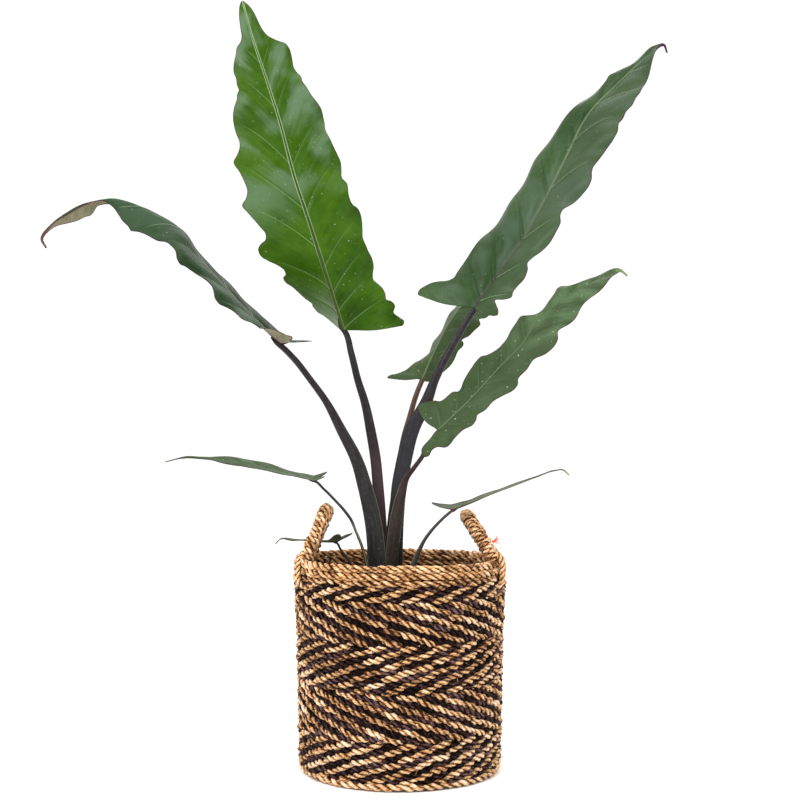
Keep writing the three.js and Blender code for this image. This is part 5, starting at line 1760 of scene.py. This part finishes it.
# How far a blade puffs up between its side veins.
PUFF, PLAIN_PUFF = {1: 1.5, 2: 1.9, 3: 1.2, 6: 0.4, 7: 0.4, 8: 0.4}, 0.8
for number, plant in PLANTS.items():
    plant["curve"] = smooth_curve(plant["midrib"])
    plant["length"] = step_lengths(plant["curve"](np.linspace(0, 1, 201))).sum()
    plant["rib"] = MIDRIB_HEIGHT * (0.5 if number in SMALL else 1.0)
    rows = ROWS_OF_A_SMALL_BLADE if number in SMALL else ROWS
    part = blade(plant, number, PUFF.get(number, PLAIN_PUFF), rows)
    finishes = [BLADE_FINISH.get(number, leaf_middle), UNDER_FINISH.get(number, leaf_under)]
    add_piece(f"blade_{number}", part, finishes, [f"blade_{number}"])

# %% [markdown]
# ## Stalks
# A stalk is round under its blade. Lower down it widens into a sheath that wraps the younger stalks,
# so its section becomes a crescent with thin pale edges. The stalk runs on a little under the midrib,
# where a real one turns into it without a step.

# %% Stalk mesh
SECTION = 36
STALK_RINGS = 150
# Where the stalk runs on under the midrib, in shares of its length, and how thick it still is.
UNDER_MIDRIB, THICKNESS_THERE = np.array([0.012, 0.035]), (0.75, 0.3)
# How far its last three stations lie behind the midrib, in shares of its depth.
BEHIND_MIDRIB = (0.45, 0.55, 0.45)


def stalk_stations(plant):
    """The stations of a stalk from its table, and two more under the midrib."""
    stations = [list(station) for station in plant["stalk"]]
    width, depth = stations[-1][3:5]
    for point, thickness in zip(plant["curve"](UNDER_MIDRIB), THICKNESS_THERE):
        stations.append([*point, width * thickness, depth * thickness, 0])
    stations = np.array(stations, float)
    face = unit(np.array(plant["face"][0], float))
    for back, share in zip((3, 2, 1), BEHIND_MIDRIB):
        stations[-back, :3] -= face * depth * share
    return stations


def stalk(plant):
    stations = stalk_stations(plant)
    line = stations[:, :3]
    t = np.linspace(0, 1, STALK_RINGS)
    path = smooth_curve(line)(t)
    way = unit(np.gradient(path, axis=0))
    open_side = unit(np.array(plant["open_side"], float))
    inward = unit(open_side - way * (way @ open_side)[:, None])
    across = np.cross(way, inward)
    places = walked_to(line) / step_lengths(line).sum()
    width, depth, channel = (np.interp(t, places, stations[:, c])[:, None] for c in (3, 4, 5))
    turn = -full_turn(SECTION)
    x = width / 2 * np.cos(turn)
    y = depth / 2 * np.sin(turn)
    # The half that faces the younger stalks is pressed in, and becomes the hollow of the sheath.
    y = np.where(np.sin(turn) > 1e-9, y * (1 - 1.5 * channel), y)
    points = path[:, None] + across[:, None] * x[..., None] + inward[:, None] * y[..., None]
    walked = walked_to(path)
    side = np.arange(SECTION + 1) % (SECTION // 2)
    edge = np.where(side == 0, 1.0, np.where((side == 1) | (side == SECTION // 2 - 1), 0.25, 0.0))
    channel = np.append(channel, 0)[:, None]
    hollow = np.where(np.arange(SECTION + 1) > SECTION // 2, 1.0, 0.0)
    look = np.stack([edge * ease(0.3, 0.7, channel), hollow * ease(0.2, 0.6, channel)], -1)[None]
    return skin(points[None], np.append(walked, walked[-1])[None], look)


print("triangles in a stalk:", 2 * SECTION * (STALK_RINGS - 1))

# %% Stalk finishes
SHEATH_EDGE = (150, 158, 120)
STALK_SHEEN = (130, 130, 134)
FLAKE = (170, 168, 158)
# The dry flakes thin out between these heights, in mm from the foot.
FLAKES_THIN, FLAKES_END = 75.0, 120.0


def stalk_finish(name, foot, top, inside, length):
    finish = Finish(name, roughness=0.36, specular=0.15)
    around, lengthwise = finish.read_map("strand")
    pale, hollow = finish.read_map("look")
    streaks = finish.noise(around * 30.0, lengthwise * 0.035, 1.0, detail=3.0)
    blots = finish.noise(around * 9.0, lengthwise * 0.16, 4.0)
    base = finish.mix(finish.step(lengthwise, 0.15 * length, 0.85 * length), foot, top)
    shade = finish.step(streaks * 0.65 + blots * 0.35, 0.42, 0.68)
    mottled = finish.mix(shade * 0.32, base, finish.mix(0.25, base, STALK_SHEEN))
    lined = finish.mix(hollow * 0.6, mottled, inside)
    flakes = finish.noise(around * 26.0, lengthwise * 0.22, 9.0, detail=3.0)
    flakes = finish.step(flakes, 0.67, 0.73) * finish.near(lengthwise, FLAKES_THIN, FLAKES_END)
    flaked = finish.mix(flakes * 0.7, lined, FLAKE)
    finish.colour(finish.mix(pale, flaked, SHEATH_EDGE))
    finish.bump(streaks, 0.35)
    return finish


CHARCOAL, BLUE_GREY, PURPLE_BROWN = (33, 33, 31), (39, 39, 43), (39, 26, 29)
OLIVE_BROWN, RED_BROWN, OLIVE = (39, 34, 27), (48, 29, 27), (92, 98, 50)
# Colour of each stalk at its foot, at its top, and in the hollow of its sheath.
STALK_COLOURS = {
    1: (PURPLE_BROWN, (22, 18, 21), (84, 62, 66)),
    2: (BLUE_GREY, (33, 27, 30), BLUE_GREY),
    3: (CHARCOAL, (29, 21, 24), CHARCOAL),
    4: (OLIVE_BROWN, RED_BROWN, (56, 52, 40)),
    5: (OLIVE_BROWN, (72, 52, 36), OLIVE_BROWN),
    6: ((44, 44, 36), (48, 38, 40), OLIVE),
    7: ((44, 40, 40), (56, 50, 44), CHARCOAL),
    8: ((60, 60, 58), (66, 56, 56), CHARCOAL),
}
for number, plant in PLANTS.items():
    length = step_lengths(np.array(plant["stalk"], float)[:, :3]).sum()
    finish = stalk_finish(f"stalk {number}", *STALK_COLOURS[number], length)
    slot = "brown_stalk" if number == 1 else "dark_stalk"
    add_piece(f"petiole_{number}", stalk(plant), [finish], [f"petiole_{number}"])
